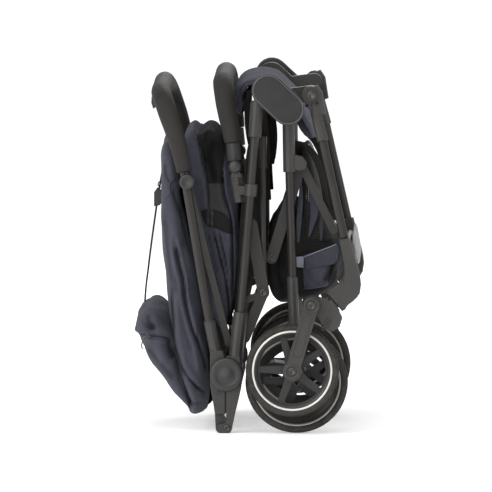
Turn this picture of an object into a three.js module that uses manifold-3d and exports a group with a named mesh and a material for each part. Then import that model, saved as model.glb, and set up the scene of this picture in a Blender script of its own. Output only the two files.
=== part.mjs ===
// Compact folding baby stroller, shown folded and standing upright.
// Millimetres, +Z up, +X the front, -Y the right-hand side; origin at the bottom centre of its box.
import * as THREE from 'three';
import { mergeVertices } from 'three/addons/utils/BufferGeometryUtils.js';
import Module from 'manifold-3d';

const wasm = await Module();
wasm.setup();

// ---------------------------------------------------------------- driving sizes
const GAP = 0.3;                 // clearance between pieces that touch
const PLAY = 0.4;                // radial play of a pin in its bore
const ROUND = 12;                // facets round a tube
const SHIFT_X = 0;               // moves the whole frame onto its bottom centre

// side-view stations [x, z]
const PIVOT_A = [33, 516];       // lower push tube on the hub
const PIVOT_B = [63, 488];       // rear leg on the hub
const PIVOT_C = [98, 508];       // front leg on the hub
const FOLD_PIN = [-28.5, 8];     // hinge between the two push tubes
const FOLD_DISC = [-29, 88.5];
const BAR_PIVOT = [-16.5, 400];  // bumper bar on the lower push tube
const HOOD_PIVOT = [-88.5, 378]; // canopy bow on the handle tube
const REAR_AXLE = [76, 77];
const FRONT_AXLE = [70, 97];
const SWIVEL = [134, 197];
const SWIVEL_DIR = [0.7547, 0.6561];
const SUSPENSION = [99, 196];
const LINK_PIN = [82, 402];
const LINK_END = [38, 260];
const LINK_FRONT = [131, 302];

// layers across the stroller, distance from the middle plane
const HUB_IN = 150;
const HUB_OUT = 160;
const REAR_MID = 171;            // rear leg tube
const REAR_EYE = 9.5;            // half width of its eye
const PUSH_MID = 197;            // both push tubes
const PUSH_EYE = 9;
const CAP_IN = 208.3;
const CAP_OUT = 217;
const REAR_WHEEL_MID = 195;
const FRONT_WHEEL_MID = 236;
const FRONT_WHEEL_W = 27;
const REAR_WHEEL_W = 24;
const FORK_INNER = [213, 219.5];
const FORK_OUTER = [252.5, 261];
const BAR_MID = 176;             // bumper bar legs
const SOFT_HALF = 160;           // half width of the hood
const SEAT_HALF = 148;

// radii
const HUB_R = 24.8;
const PIN_R = 5;
const PUSH_R = 6.5;
const HANDLE_R = 7;
const SLEEVE_R = 9.75;
const GRIP_R = 14.5;
const REAR_R = 6;
const FRONT_R = 6.75;
const REAR_WHEEL_R = 77;
const FRONT_WHEEL_R = 70;
const BUMPER_R = 15.5;
const DISC_R = 25;

// ---------------------------------------------------------------- helpers
function toSolid(geometry) {
  const clean = geometry.clone();
  clean.deleteAttribute('normal');
  clean.deleteAttribute('uv');
  const merged = mergeVertices(clean, 1e-4);
  return new wasm.Manifold(new wasm.Mesh({
    numProp: 3,
    vertProperties: new Float32Array(merged.attributes.position.array),
    triVerts: new Uint32Array(merged.index.array),
  }));
}

function toGeometry(solid) {
  const mesh = solid.getMesh();
  const geometry = new THREE.BufferGeometry();
  geometry.setAttribute('position', new THREE.BufferAttribute(new Float32Array(mesh.vertProperties), 3));
  geometry.setIndex(new THREE.BufferAttribute(new Uint32Array(mesh.triVerts), 1));
  return geometry;
}

// unite the first list, then take the second list away
function carve(adds, cuts = []) {
  let solid = toSolid(adds[0]);
  for (const piece of adds.slice(1)) {
    solid = solid.add(toSolid(piece));
  }
  for (const piece of cuts) {
    solid = solid.subtract(toSolid(piece));
  }
  return toGeometry(solid);
}

function vec(point) {
  return new THREE.Vector3(point[0], point[1], point[2]);
}

// straight round bar between two 3-D points
function rod(a, b, radius, endRadius = radius, facets = ROUND) {
  const from = vec(a);
  const to = vec(b);
  const axis = to.clone().sub(from);
  const geometry = new THREE.CylinderGeometry(endRadius, radius, axis.length(), facets);
  const turn = new THREE.Quaternion().setFromUnitVectors(
    new THREE.Vector3(0, 1, 0), axis.clone().normalize());
  geometry.applyQuaternion(turn);
  const middle = from.add(to).multiplyScalar(0.5);
  geometry.translate(middle.x, middle.y, middle.z);
  return geometry;
}

// round bar across the stroller at a side-view station
function pin(station, radius, yFrom, yTo, facets = ROUND) {
  return rod([station[0], yFrom, station[1]], [station[0], yTo, station[1]], radius, radius, facets);
}

// flat piece cut to a side-view outline, between two layers
function slab(outline, yFrom, yTo, edge = 0) {
  const shape = new THREE.Shape(outline.map((p) => new THREE.Vector2(p[0], p[1])));
  return raise(shape, yFrom, yTo, edge);
}

function raise(shape, yFrom, yTo, edge) {
  const geometry = new THREE.ExtrudeGeometry(shape, {
    depth: yTo - yFrom - 2 * edge,
    steps: 1,
    curveSegments: 5,
    bevelEnabled: edge > 0,
    bevelSize: edge,
    bevelThickness: edge,
    bevelOffset: -edge,
    bevelSegments: 1,
  });
  geometry.rotateX(Math.PI / 2);
  geometry.translate(0, yTo - edge, 0);
  return geometry;
}

// round-ended bar (outline of two equal circles) between two layers
function link(a, b, radius, yFrom, yTo, edge = 0) {
  const slope = Math.atan2(b[1] - a[1], b[0] - a[0]);
  const shape = new THREE.Shape();
  shape.absarc(a[0], a[1], radius, slope + Math.PI / 2, slope + 1.5 * Math.PI, false);
  shape.absarc(b[0], b[1], radius, slope - Math.PI / 2, slope + Math.PI / 2, false);
  shape.closePath();
  return raise(shape, yFrom, yTo, edge);
}

// closed round sweep through points, its radius given along the way (t from 0 to 1)
function sweep(points, radiusAt, rings, facets = ROUND) {
  const curve = new THREE.CatmullRomCurve3(points.map(vec), false, 'centripetal');
  const frames = curve.computeFrenetFrames(rings, false);
  const positions = [];
  const index = [];
  for (let i = 0; i <= rings; i += 1) {
    const centre = curve.getPointAt(i / rings);
    const radius = radiusAt(i / rings);
    for (let j = 0; j < facets; j += 1) {
      const angle = (j / facets) * 2 * Math.PI;
      const spot = centre.clone()
        .addScaledVector(frames.normals[i], radius * Math.cos(angle))
        .addScaledVector(frames.binormals[i], radius * Math.sin(angle));
      positions.push(spot.x, spot.y, spot.z);
    }
  }
  for (let i = 0; i < rings; i += 1) {
    for (let j = 0; j < facets; j += 1) {
      const a = i * facets + j;
      const b = i * facets + ((j + 1) % facets);
      index.push(a, b, b + facets, a, b + facets, a + facets);
    }
  }
  const start = positions.length / 3;
  for (const t of [0, 1]) {
    const end = curve.getPointAt(t);
    positions.push(end.x, end.y, end.z);
  }
  for (let j = 0; j < facets; j += 1) {
    const next = (j + 1) % facets;
    index.push(start, next, j);
    index.push(start + 1, rings * facets + j, rings * facets + next);
  }
  const geometry = new THREE.BufferGeometry();
  geometry.setAttribute('position', new THREE.Float32BufferAttribute(positions, 3));
  geometry.setIndex(index);
  return geometry;
}

// the same points followed by their mirror images, so one path crosses the middle plane
function across(points) {
  const back = points.slice().reverse().map((p) => [p[0], -p[1], p[2]]);
  return points.concat(back);
}

// turned piece about a cross axis: closed profile of [radius, layer] pairs
function turned(station, profile, facets) {
  const points = profile.concat([profile[0]]).map((p) => new THREE.Vector2(p[0], p[1]));
  const geometry = new THREE.LatheGeometry(points, facets);
  geometry.translate(station[0], 0, station[1]);
  return geometry;
}

function mirrored(geometry) {
  const copy = geometry.index ? geometry.clone() : mergeVertices(geometry);
  copy.scale(1, -1, 1);
  const index = copy.index.array;
  for (let i = 0; i < index.length; i += 3) {
    const keep = index[i];
    index[i] = index[i + 1];
    index[i + 1] = keep;
  }
  return copy;
}

const group = new THREE.Group();
group.name = 'stroller';

const COLOURS = {
  plastic: 0x26272a,
  metal: 0x2f3338,
  grip: 0x35332f,
  slate: 0x4d5a68,
  lining: 0x1c1d20,
  tyre: 0x1a1a1b,
  silver: 0xb9b4aa,
};

function place(name, geometry, colour) {
  const clean = geometry.clone();
  clean.deleteAttribute('uv');
  clean.deleteAttribute('normal');
  const welded = mergeVertices(clean, 1e-4);
  welded.translate(SHIFT_X, 0, 0);
  welded.computeVertexNormals();
  const mesh = new THREE.Mesh(welded, new THREE.MeshStandardMaterial({ color: COLOURS[colour] }));
  mesh.name = name;
  group.add(mesh);
}

// a piece modelled on the left side (+Y), placed on both sides
function pair(name, geometry, colour) {
  place(`${name}_left`, geometry, colour);
  place(`${name}_right`, mirrored(geometry), colour);
}

// ---------------------------------------------------------------- hub (root)
const hub = carve([
  link(PIVOT_A, PIVOT_B, 21, HUB_IN, HUB_OUT),
  link([52, 502], PIVOT_C, 12, HUB_IN, HUB_OUT),
  pin(PIVOT_A, PIN_R, HUB_IN, CAP_IN - GAP),
  pin(PIVOT_A, 9, HUB_OUT - 1, PUSH_MID - PUSH_EYE - GAP),
  pin(PIVOT_B, PIN_R, HUB_IN, CAP_IN - GAP),
  pin(PIVOT_B, 9, REAR_MID + REAR_EYE + 0.5, CAP_IN - GAP),
  pin(PIVOT_C, PIN_R, HUB_IN, 209),
  pin(PIVOT_C, 9, HUB_OUT - 1, 186 - GAP),
  pin(PIVOT_C, 8.5, 204.5, 209),
]);
place('hub_frame', carve([hub, mirrored(hub), pin([40, 503], 8, -HUB_IN - 2, HUB_IN + 2)]), 'plastic');
pair('hub_cap', link(PIVOT_A, PIVOT_B, HUB_R, CAP_IN, CAP_OUT, 2.2), 'plastic');

const SEAT_OUTLINE = [
  [-6, 467], [-13, 480], [-17.5, 497], [-18.5, 508], [-15, 516], [-6, 526], [8, 532.5], [22, 534],
  [34, 530], [46, 522.5], [59, 511], [72, 496], [84, 478], [95, 458], [107, 436], [95, 430],
  [84, 447], [74, 466], [64, 485], [52, 505], [41, 514.5], [24, 519], [8, 518.5], [-3, 514],
  [-6, 505], [-4, 490], [-2, 470],
];
place('seat_front_pad', slab(SEAT_OUTLINE, -SEAT_HALF, SEAT_HALF), 'slate');

const BASKET_OUTLINE = [
  [82, 425], [94, 424], [106, 398], [118, 340], [133, 292], [140.5, 281], [142, 268], [142.5, 250],
  [142, 235], [138, 217], [120, 206], [84, 202], [60, 190], [40, 184], [34, 200], [33, 240],
  [35, 290], [42, 326], [56, 340], [70, 340], [78, 362],
];
place('basket', slab(BASKET_OUTLINE, -145, 145), 'lining');

// ---------------------------------------------------------------- lower push tubes
const TUBE_A_TOP = [13, 445];
const TUBE_A_LOW = [-8, 180];
const sleeveA = carve([
  pin(PIVOT_A, 16, PUSH_MID - PUSH_EYE, PUSH_MID + PUSH_EYE, 14),
  rod([17, PUSH_MID, 499], [TUBE_A_TOP[0], PUSH_MID, TUBE_A_TOP[1]], SLEEVE_R - 0.2, SLEEVE_R),
  slab([[17, 508], [33, 500], [27, 488], [12, 490]], PUSH_MID - 8, PUSH_MID + 8),
], [pin(PIVOT_A, PIN_R + PLAY, 180, 215)]);
pair('push_sleeve', sleeveA, 'plastic');
// tube with the crank plate of the fold linkage and the seat back's side rail joined to its inner face
const pushTube = carve([
  rod([TUBE_A_TOP[0] - 0.1, PUSH_MID, TUBE_A_TOP[1] - 0.6],
    [TUBE_A_LOW[0] + 0.1, PUSH_MID, TUBE_A_LOW[1] + 0.6], PUSH_R),
  link([8, 312], [26, 210], 9, 180, 186),
  link([26, 210], [-2, 142], 8, 180, 186),
  link([-5, 196], [18, 206], 5, 180, 186),
  pin([3, 300], 4, 185, 195),
  pin([-5, 196], 4, 185, 195),
  pin([26, 210], 9, 178, 187.5, 12),
  rod([24.5, 172, 444], [24.6, 174, 396], 6.6),
  rod([24.6, 174, 398], [26, 181, 212], 4.8),
]);
pair('push_tube', pushTube, 'metal');

const castingA = carve([
  rod([TUBE_A_LOW[0], PUSH_MID, TUBE_A_LOW[1]], [-17, PUSH_MID, 100], 11),
  slab([[-29.5, 116], [-9, 116], [-6.5, 92], [-7, 68], [-13, 42], [-17, 27], [-29.5, 27]], 186, 208, 1),
  slab([[-29.5, 30], [-16, 30], [-19.5, 14], [-21.5, 4], [-25, 0], [-40, 0], [-44, 3], [-45.5, 9],
    [-41, 13.5], [-30.5, 14.5]], 196.5, 208),
  pin(FOLD_PIN, 8, 196.5, 208, 12),
  pin(FOLD_PIN, 3.5, 184, 209),
  turned(FOLD_DISC, [
    [0, 204.5], [DISC_R, 204.5], [DISC_R, 211.5], [DISC_R - 1.5, 213], [DISC_R - 7, 213],
    [DISC_R - 8, 212], [DISC_R - 14, 212], [DISC_R - 15, 213], [0, 213],
  ], 14),
]);
pair('fold_casting_lower', castingA, 'plastic');
const CROSS_A = [-18, 76];
place('push_cross_tube', pin(CROSS_A, 8, -(186 - GAP), 186 - GAP), 'metal');

const clampTop = [8, PUSH_MID, 374];
const clampLow = [6.6, PUSH_MID, 356];
const adapter = carve([
  rod([-15, BAR_MID + 2, 387], [-9, BAR_MID + 2, 346], 10, 9),
  rod(clampTop, clampLow, 9.5),
  slab([[-12, 371], [4, 371], [2, 358], [-12, 358]], BAR_MID, 196),
  slab([[-22, 400], [-11, 400], [-7, 384], [-22, 384]], 184.8, 190),
  pin(BAR_PIVOT, 6, BAR_MID - 8, 192),
], [
  rod([TUBE_A_TOP[0], PUSH_MID, TUBE_A_TOP[1]], [TUBE_A_LOW[0], PUSH_MID, TUBE_A_LOW[1]], PUSH_R + GAP),
]);
pair('bumper_adapter', adapter, 'plastic');

const SEAT_BACK_OUTLINE = [
  [3, 436], [24, 436], [28, 400], [28.5, 350], [25, 300], [17, 250], [7, 210], [-3, 180], [-9, 125],
  [-20, 125], [-15, 185], [-9, 275], [-3, 350],
];
place('seat_back', slab(SEAT_BACK_OUTLINE, -SOFT_HALF, SOFT_HALF), 'slate');

// ---------------------------------------------------------------- handle
const TUBE_H_LOW = [-55, 167];
const TUBE_H_TOP = [-92.6, 392];
const castingH = carve([
  rod([TUBE_H_LOW[0], 195, TUBE_H_LOW[1]], [-44, 195, 112], 8.8),
  slab([[-54, 124], [-35.5, 124], [-31, 112], [-31, 28], [-46.5, 28], [-54, 73]], 186, 204, 1),
  slab([[-47, 32], [-33.5, 32], [-33.5, 27], [-24, 12], [-24, 2], [-27, 0], [-41, 0], [-45.5, 4]], 186, 196),
  pin(FOLD_PIN, 8, 186, 196, 12),
], [pin(FOLD_PIN, 3.5 + PLAY, 180, 215)]);
pair('fold_casting_upper', castingH, 'plastic');
// tube with the round boss that carries the canopy bow
const handleTube = carve([
  rod([TUBE_H_LOW[0] - 0.1, PUSH_MID, TUBE_H_LOW[1] + 0.6],
    [TUBE_H_TOP[0], PUSH_MID, TUBE_H_TOP[1]], HANDLE_R),
  pin(HOOD_PIVOT, 10.8, 180, 209, 14),
]);
pair('handle_tube', handleTube, 'metal');

const gripPath = across([
  [TUBE_H_TOP[0], PUSH_MID, TUBE_H_TOP[1] + 0.5], [-98, PUSH_MID, 417], [-107.5, PUSH_MID, 452],
  [-116.5, 194, 478], [-123, 180, 496.5], [-127.5, 155, 506.5], [-128.5, 120, 509], [-128.5, 60, 509],
]);
const grip = sweep(gripPath, (t) => GRIP_R - 3.2 * Math.max(0, 1 - 9 * Math.min(t, 1 - t)), 30);
place('grip', grip, 'grip');
place('release_slider', carve([
  slab([[-139.8, 502], [-134.5, 496], [-137, 480], [-143, 476], [-146, 485], [-145.5, 494]], -16, 16, 1.2),
], [pin([-128.5, 509], GRIP_R + 0.6, -40, 40, 24)]), 'plastic');

const BACKREST_OUTLINE = [
  [-117, 440], [-124.5, 436], [-127.5, 425], [-126, 395], [-128, 358], [-127.5, 320], [-124.5, 275],
  [-120, 230], [-115, 185], [-106.5, 103], [-81, 20], [-70, 22], [-61, 31], [-57, 37], [-57.5, 60],
  [-61, 120], [-68, 190], [-84, 290], [-101, 345], [-102, 400], [-108, 440],
];
place('backrest', slab(BACKREST_OUTLINE, -183, 183), 'slate');

const FLAP_OUTLINE = [
  [-160, 173], [-154, 181], [-146.5, 184.5], [-137.5, 182.5], [-128.5, 176], [-119.5, 165],
  [-114, 152], [-111, 130], [-108, 103], [-84, 26], [-99, 48], [-121, 75], [-141, 104], [-153, 130],
  [-158, 143], [-172.5, 147.5], [-168, 165],
];
place('rear_flap', slab(FLAP_OUTLINE, -165, 165), 'slate');

// recline cord down the middle of the back, through its buckle, to the top of the flap
const CORD_R = 1.4;
const CORD_PATH = [
  [-130, 0, 378], [-132.2, 0, 366], [-134.8, 0, 350], [-137.4, 0, 334], [-140, 0, 316],
  [-143.6, 0, 290], [-147.6, 0, 260], [-151, 0, 232], [-154, 0, 208], [-156, 0, 183],
];
place('recline_cord', sweep(CORD_PATH, () => CORD_R, 40, 8), 'lining');
place('cord_buckle', carve([
  slab([[-142, 328], [-134, 329.4], [-129.4, 334], [-130.6, 352], [-137, 356], [-142, 349]], -8, 8, 1.2),
], [sweep(CORD_PATH, () => CORD_R + PLAY + 0.2, 40, 8)]), 'plastic');

const HOOD_OUTLINE = [
  [-97.5, 436], [-91, 452], [-82, 459], [-72, 455], [-56, 458], [-47, 453], [-38, 430], [-15, 365],
  [-15, 250], [-23, 180], [-31, 143], [-44, 150], [-63, 215], [-78, 290], [-96, 347], [-97, 400],
];
place('hood', slab(HOOD_OUTLINE, -SOFT_HALF, SOFT_HALF), 'slate');

// canopy bow: two flat arms and a round cross wire
const BOW_END = [-27, 133];
const bowArm = link(HOOD_PIVOT, BOW_END, 5, 165, 172);
const bow = carve([
  bowArm,
  mirrored(bowArm),
  pin(HOOD_PIVOT, 8.5, 165, 179.6),
  pin(HOOD_PIVOT, 8.5, -179.6, -165),
  pin(BOW_END, 4.5, -166, 166, 12),
]);
place('hood_bow', bow, 'plastic');

// ---------------------------------------------------------------- bumper bar
const bumperPath = across([
  [-20.6, BAR_MID, 435.6], [-22.5, BAR_MID, 451], [-27, BAR_MID, 474], [-30.5, BAR_MID - 3, 494],
  [-33, BAR_MID - 16, 511.5], [-34.5, BAR_MID - 38, 521], [-35, 105, 523], [-35, 50, 523],
]);
const bumper = sweep(bumperPath, (t) => BUMPER_R - 2.8 * Math.max(0, 1 - 12 * Math.min(t, 1 - t)), 28);
place('bumper_bar', bumper, 'grip');
const socket = carve([
  rod([-20.4, BAR_MID, 435], [-17.8, BAR_MID, 409], 11),
  pin(BAR_PIVOT, 9.8, BAR_MID - 8, BAR_MID + 8, 14),
], [pin(BAR_PIVOT, 6 + PLAY, BAR_MID - 20, BAR_MID + 20)]);
pair('bumper_socket', socket, 'plastic');

// ---------------------------------------------------------------- rear legs
const TUBE_B_TOP = [64.5, 391];
const TUBE_B_LOW = [69, 232];
const legB = carve([
  pin(PIVOT_B, 14, REAR_MID - REAR_EYE, REAR_MID + REAR_EYE, 14),
  rod([PIVOT_B[0], REAR_MID, PIVOT_B[1]], [TUBE_B_TOP[0], REAR_MID, TUBE_B_TOP[1]], SLEEVE_R - 0.6),
  slab([[66, 418], [84, 414], [91, 404], [89, 396], [80, 393], [66, 396]], 162, 175),
  pin(LINK_PIN, 4, 148.5, 163),
], [pin(PIVOT_B, PIN_R + PLAY, 150, 195)]);
pair('rear_sleeve', legB, 'plastic');
pair('rear_tube', rod([TUBE_B_TOP[0], REAR_MID, TUBE_B_TOP[1] - 0.5],
  [TUBE_B_LOW[0], REAR_MID, TUBE_B_LOW[1] + 0.5], REAR_R), 'metal');
const footB = carve([
  rod([TUBE_B_LOW[0], REAR_MID, TUBE_B_LOW[1]], [71, REAR_MID, 180], 8.25),
  rod([71, REAR_MID, 182], [REAR_AXLE[0], REAR_MID, REAR_AXLE[1]], 8.25, 9.5),
  pin(REAR_AXLE, 15, 160, 181.5, 14),
  pin(REAR_AXLE, PIN_R, 180, 209),
]);
pair('rear_foot', footB, 'plastic');
place('rear_axle_tube', pin(REAR_AXLE, 8, -(160 - GAP), 160 - GAP), 'metal');
const pedal = carve([
  pin(REAR_AXLE, 12, -30, 30, 14),
  slab([[70, 85], [66, 90], [40, 94], [26, 90], [26, 86], [42, 84], [66, 74], [72, 72]], -30, 30),
], [pin(REAR_AXLE, 8 + PLAY, -40, 40)]);
place('brake_pedal', pedal, 'plastic');

// diagonal stay: open at its far end, where the real one pins to the fold link
const stay = carve([
  link(LINK_PIN, LINK_END, 8.5, 150.5, 155),
  link(LINK_PIN, LINK_FRONT, 6, 152, 157),
], [pin(LINK_PIN, 4 + PLAY, 140, 165)]);
pair('diagonal_stay', stay, 'metal');

// ---------------------------------------------------------------- wheels
function wheel(axle, middle, width, radius, ringR, tyreName, rimName) {
  const half = width / 2;
  const seat = ringR - 4;
  const tyre = turned(axle, [
    [seat + GAP, middle - half * 0.62], [radius - 7, middle - half], [radius - 2, middle - half * 0.8],
    [radius, middle - half * 0.4], [radius, middle + half * 0.4], [radius - 2, middle + half * 0.8],
    [radius - 7, middle + half], [seat + GAP, middle + half * 0.62],
  ], 32);
  const spokes = [];
  for (let i = 0; i < 5; i += 1) {
    const angle = ((178 - i * 72) * Math.PI) / 180;
    const far = seat - 2;
    const spoke = slab([[0, -7], [far, -4.5], [far, 4.5], [0, 7]], middle - 5, middle + 5);
    spoke.rotateY(-angle);
    spoke.translate(axle[0], 0, axle[1]);
    spokes.push(spoke);
  }
  const rim = carve([
    turned(axle, [
      [seat - 6, middle - half * 0.5], [seat, middle - half * 0.6], [seat, middle + half * 0.6],
      [seat - 6, middle + half * 0.5],
    ], 48),
    ...spokes,
    pin(axle, 14, middle - half + 1, middle + half - 1, 14),
  ], [pin(axle, PIN_R + PLAY, middle - 40, middle + 40)]);
  pair(tyreName, tyre, 'tyre');
  pair(rimName, rim, 'silver');
}
wheel(REAR_AXLE, REAR_WHEEL_MID, REAR_WHEEL_W, REAR_WHEEL_R, 67, 'rear_tyre', 'rear_rim');
wheel(FRONT_AXLE, FRONT_WHEEL_MID, FRONT_WHEEL_W, FRONT_WHEEL_R, 60, 'front_tyre', 'front_rim');

// ---------------------------------------------------------------- front legs
const legC = carve([
  pin(PIVOT_C, 14, 186, 204, 14),
  slab([[82, 506], [87, 515], [107, 523], [114.5, 512], [119.5, 480], [102, 474], [92, 491]], 186.5, 203.5, 1.5),
  rod([PIVOT_C[0], 195, PIVOT_C[1]], [115, 203, 440], 7.6, SLEEVE_R - 0.8),
], [pin(PIVOT_C, PIN_R + PLAY, 180, 215)]);
pair('front_sleeve', legC, 'plastic');
pair('front_tube', rod([115.1, 203.05, 439.4], [147.4, 224.9, 295.2], FRONT_R), 'metal');
const KNUCKLE = [
  [141, 293], [157, 295], [160.5, 280], [164, 266], [169, 250], [172, 236], [173, 226], [171.5, 214],
  [168, 208], [162, 202], [153, 195], [149, 188.5], [144.6, 186.5], [134, 198.2], [123.4, 210.2],
  [119, 213], [127, 219], [138, 226.5], [144.5, 233], [148.5, 242], [148, 257], [144, 276],
];
const knuckle = carve([
  slab(KNUCKLE, 226.5, 245.5, 2),
  slab([[140.5, 294], [156.5, 296], [162, 266], [149, 262]], 216, 238, 1.5),
], [
  rod([148.4, 225.5, 291], [147, 224.6, 297], FRONT_R + GAP),
]);
pair('front_knuckle', knuckle, 'plastic');
place('footrest_tube', pin([151, 273], 6.5, -(216 - GAP), 216 - GAP), 'metal');
place('footrest_pad', slab([[158.6, 299], [163, 298], [168.5, 264], [170.5, 247], [167, 244], [162, 258],
  [159.4, 268]], -130, 130), 'slate');

// ---------------------------------------------------------------- casters
function alongSwivel(distance, side) {
  return [SWIVEL[0] + distance * SWIVEL_DIR[0], side, SWIVEL[1] + distance * SWIVEL_DIR[1]];
}
const swivel = carve([
  rod(alongSwivel(-GAP - 0.7, FRONT_WHEEL_MID), alongSwivel(-14, FRONT_WHEEL_MID), 12.5, 12.5, 14),
  slab([[112, 206], [121.5, 206.5], [131, 196.5], [141, 184.5], [145, 176], [141, 163], [130, 156],
    [118, 160], [107, 177], [104, 196]], 223, 249, 1.5),
  slab([[113, 206], [118, 190], [108, 178], [92, 184], [86, 194], [89, 204], [99, 209]], 222.5, 249.5, 1),
  pin(SUSPENSION, 4.5, 212, 262),
], []);
pair('caster_swivel', swivel, 'plastic');
function forkArm(layers) {
  return carve([
    link(SUSPENSION, FRONT_AXLE, 11, layers[0], layers[1], 1),
    pin(SUSPENSION, 12.75, layers[0], layers[1], 14),
    pin(FRONT_AXLE, 14.5, layers[0], layers[1], 14),
  ]);
}
const fork = carve([
  forkArm(FORK_INNER),
  forkArm(FORK_OUTER),
  pin(FRONT_AXLE, PIN_R, FORK_INNER[0], FORK_OUTER[1]),
], [pin(SUSPENSION, 4.5 + PLAY, 200, 270)]);
pair('caster_fork', fork, 'plastic');

export default group;
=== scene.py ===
"""Compact folding baby stroller, folded and standing: finishes, covers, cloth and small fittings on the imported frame.
Metres, +X the front, -Y the right-hand side, +Z up."""

import bpy
import numpy as np
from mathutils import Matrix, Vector
from mathutils.bvhtree import BVHTree


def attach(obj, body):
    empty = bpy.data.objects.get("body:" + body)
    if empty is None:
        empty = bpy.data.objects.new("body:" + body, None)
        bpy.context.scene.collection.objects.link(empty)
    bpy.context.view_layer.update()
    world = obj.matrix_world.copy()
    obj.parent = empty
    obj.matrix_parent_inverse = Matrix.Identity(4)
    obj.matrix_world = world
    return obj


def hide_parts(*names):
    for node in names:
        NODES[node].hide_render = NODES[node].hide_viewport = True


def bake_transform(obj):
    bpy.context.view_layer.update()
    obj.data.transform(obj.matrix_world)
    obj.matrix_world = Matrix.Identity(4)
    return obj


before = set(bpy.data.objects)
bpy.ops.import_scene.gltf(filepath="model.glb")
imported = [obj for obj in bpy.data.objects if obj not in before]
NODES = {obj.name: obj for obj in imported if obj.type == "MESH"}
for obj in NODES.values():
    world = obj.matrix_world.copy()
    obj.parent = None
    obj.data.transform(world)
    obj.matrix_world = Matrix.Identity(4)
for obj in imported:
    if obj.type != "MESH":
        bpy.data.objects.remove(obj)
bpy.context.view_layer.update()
MM = 0.001
SIDES = (("left", 1.0), ("right", -1.0))

# side-view stations in millimetres [x, z], as in the part's source
HUB_A, HUB_B, HUB_C = (33, 516), (63, 488), (98, 508)
FOLD_PIN, FOLD_DISC = (-28.5, 8), (-29, 88.5)
BAR_PIVOT, HOOD_PIVOT = (-16.5, 400), (-88.5, 378)
REAR_AXLE, FRONT_AXLE = (76, 77), (70, 97)
SUSPENSION, LINK_PIN = (99, 196), (82, 402)


# ------------------------------------------------------------------ camera, light and floor
VIEW_TURN, VIEW_RISE = 0.9, 3.9  # degrees towards the front, degrees up
VIEW_FAR, VIEW_WIDE = 28.0, 0.738  # metres to the aim, and metres across the picture there
VIEW_AIM = (0.0, -0.2, 0.2812)
SENSOR = 36.0
SURROUND_SEEN, SURROUND_LIT = 1.5, 0.36


def set_camera():
    """A long lens far off the right-hand side, a little in front and a little above, aimed at the near layer."""
    data = bpy.data.cameras.new("camera")
    camera = bpy.data.objects.new("camera", data)
    bpy.context.scene.collection.objects.link(camera)
    turn, rise = np.radians(VIEW_TURN), np.radians(VIEW_RISE)
    back = Vector((np.sin(turn) * np.cos(rise), -np.cos(turn) * np.cos(rise), np.sin(rise)))
    camera.location = Vector(VIEW_AIM) + VIEW_FAR * back
    camera.rotation_euler = (-back).to_track_quat("-Z", "Y").to_euler()
    data.sensor_width = SENSOR
    data.lens = SENSOR * VIEW_FAR / VIEW_WIDE
    data.clip_end = 200.0
    bpy.context.scene.camera = camera


def set_light():
    """White surround for the eye, dimmer for lighting; a wide soft sun from above the camera's left shoulder, a broad
    soft box on the left and a strip at the right edge."""
    scene = bpy.context.scene
    scene.view_settings.view_transform = "Standard"
    world = bpy.data.worlds.new("surround")
    world.use_nodes = True
    tree = world.node_tree
    tree.nodes.clear()
    seen, lit = (tree.nodes.new("ShaderNodeBackground") for _ in range(2))
    seen.inputs["Strength"].default_value, lit.inputs["Strength"].default_value = SURROUND_SEEN, SURROUND_LIT
    for pane in (seen, lit):
        pane.inputs["Color"].default_value = (1.0, 1.0, 1.0, 1.0)
    path, mix, out = (tree.nodes.new(kind) for kind in ("ShaderNodeLightPath", "ShaderNodeMixShader",
                                                        "ShaderNodeOutputWorld"))
    for source, target in ((path.outputs["Is Camera Ray"], mix.inputs[0]), (lit.outputs[0], mix.inputs[1]),
                           (seen.outputs[0], mix.inputs[2]), (mix.outputs[0], out.inputs["Surface"])):
        tree.links.new(source, target)
    scene.world = world
    for name, kind, place, size, power in (
        ("overhead", "SUN", (-1.3, -2.2, 2.9), np.radians(70), 1.75),
        ("left box", "AREA", (-2.4, -2.2, 1.5), 1.8, 34.0),
        ("right strip", "AREA", (2.4, -0.6, 1.3), 0.8, 14.0),
        ("behind", "AREA", (0.4, 2.8, 2.0), 1.8, 30.0),
    ):
        lamp = bpy.data.lights.new(name, kind)
        lamp.energy = power
        setattr(lamp, "angle" if kind == "SUN" else "size", size)
        obj = bpy.data.objects.new(name, lamp)
        scene.collection.objects.link(obj)
        obj.location = place
        obj.rotation_euler = (Vector((0, 0, 0.28)) - Vector(place)).to_track_quat("-Z", "Y").to_euler()


# ------------------------------------------------------------------ shader helpers
class Field:
    """One socket's value; arithmetic on it adds Math nodes to its finish."""

    def __init__(self, finish, socket):
        self.finish, self.socket = finish, socket

    def maths(self, operation, *others):
        return self.finish.node("ShaderNodeMath", {"operation": operation}, list(others))

    def __add__(self, other):
        return self.maths("ADD", self, other)

    def __sub__(self, other):
        return self.maths("SUBTRACT", self, other)

    def __rsub__(self, other):
        return self.maths("SUBTRACT", other, self)

    def __mul__(self, other):
        return self.maths("MULTIPLY", self, other)

    __radd__ = __add__
    __rmul__ = __mul__

    def clamp(self, low, high):
        return self.maths("MAXIMUM", self.maths("MINIMUM", self, high), low)


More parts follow.
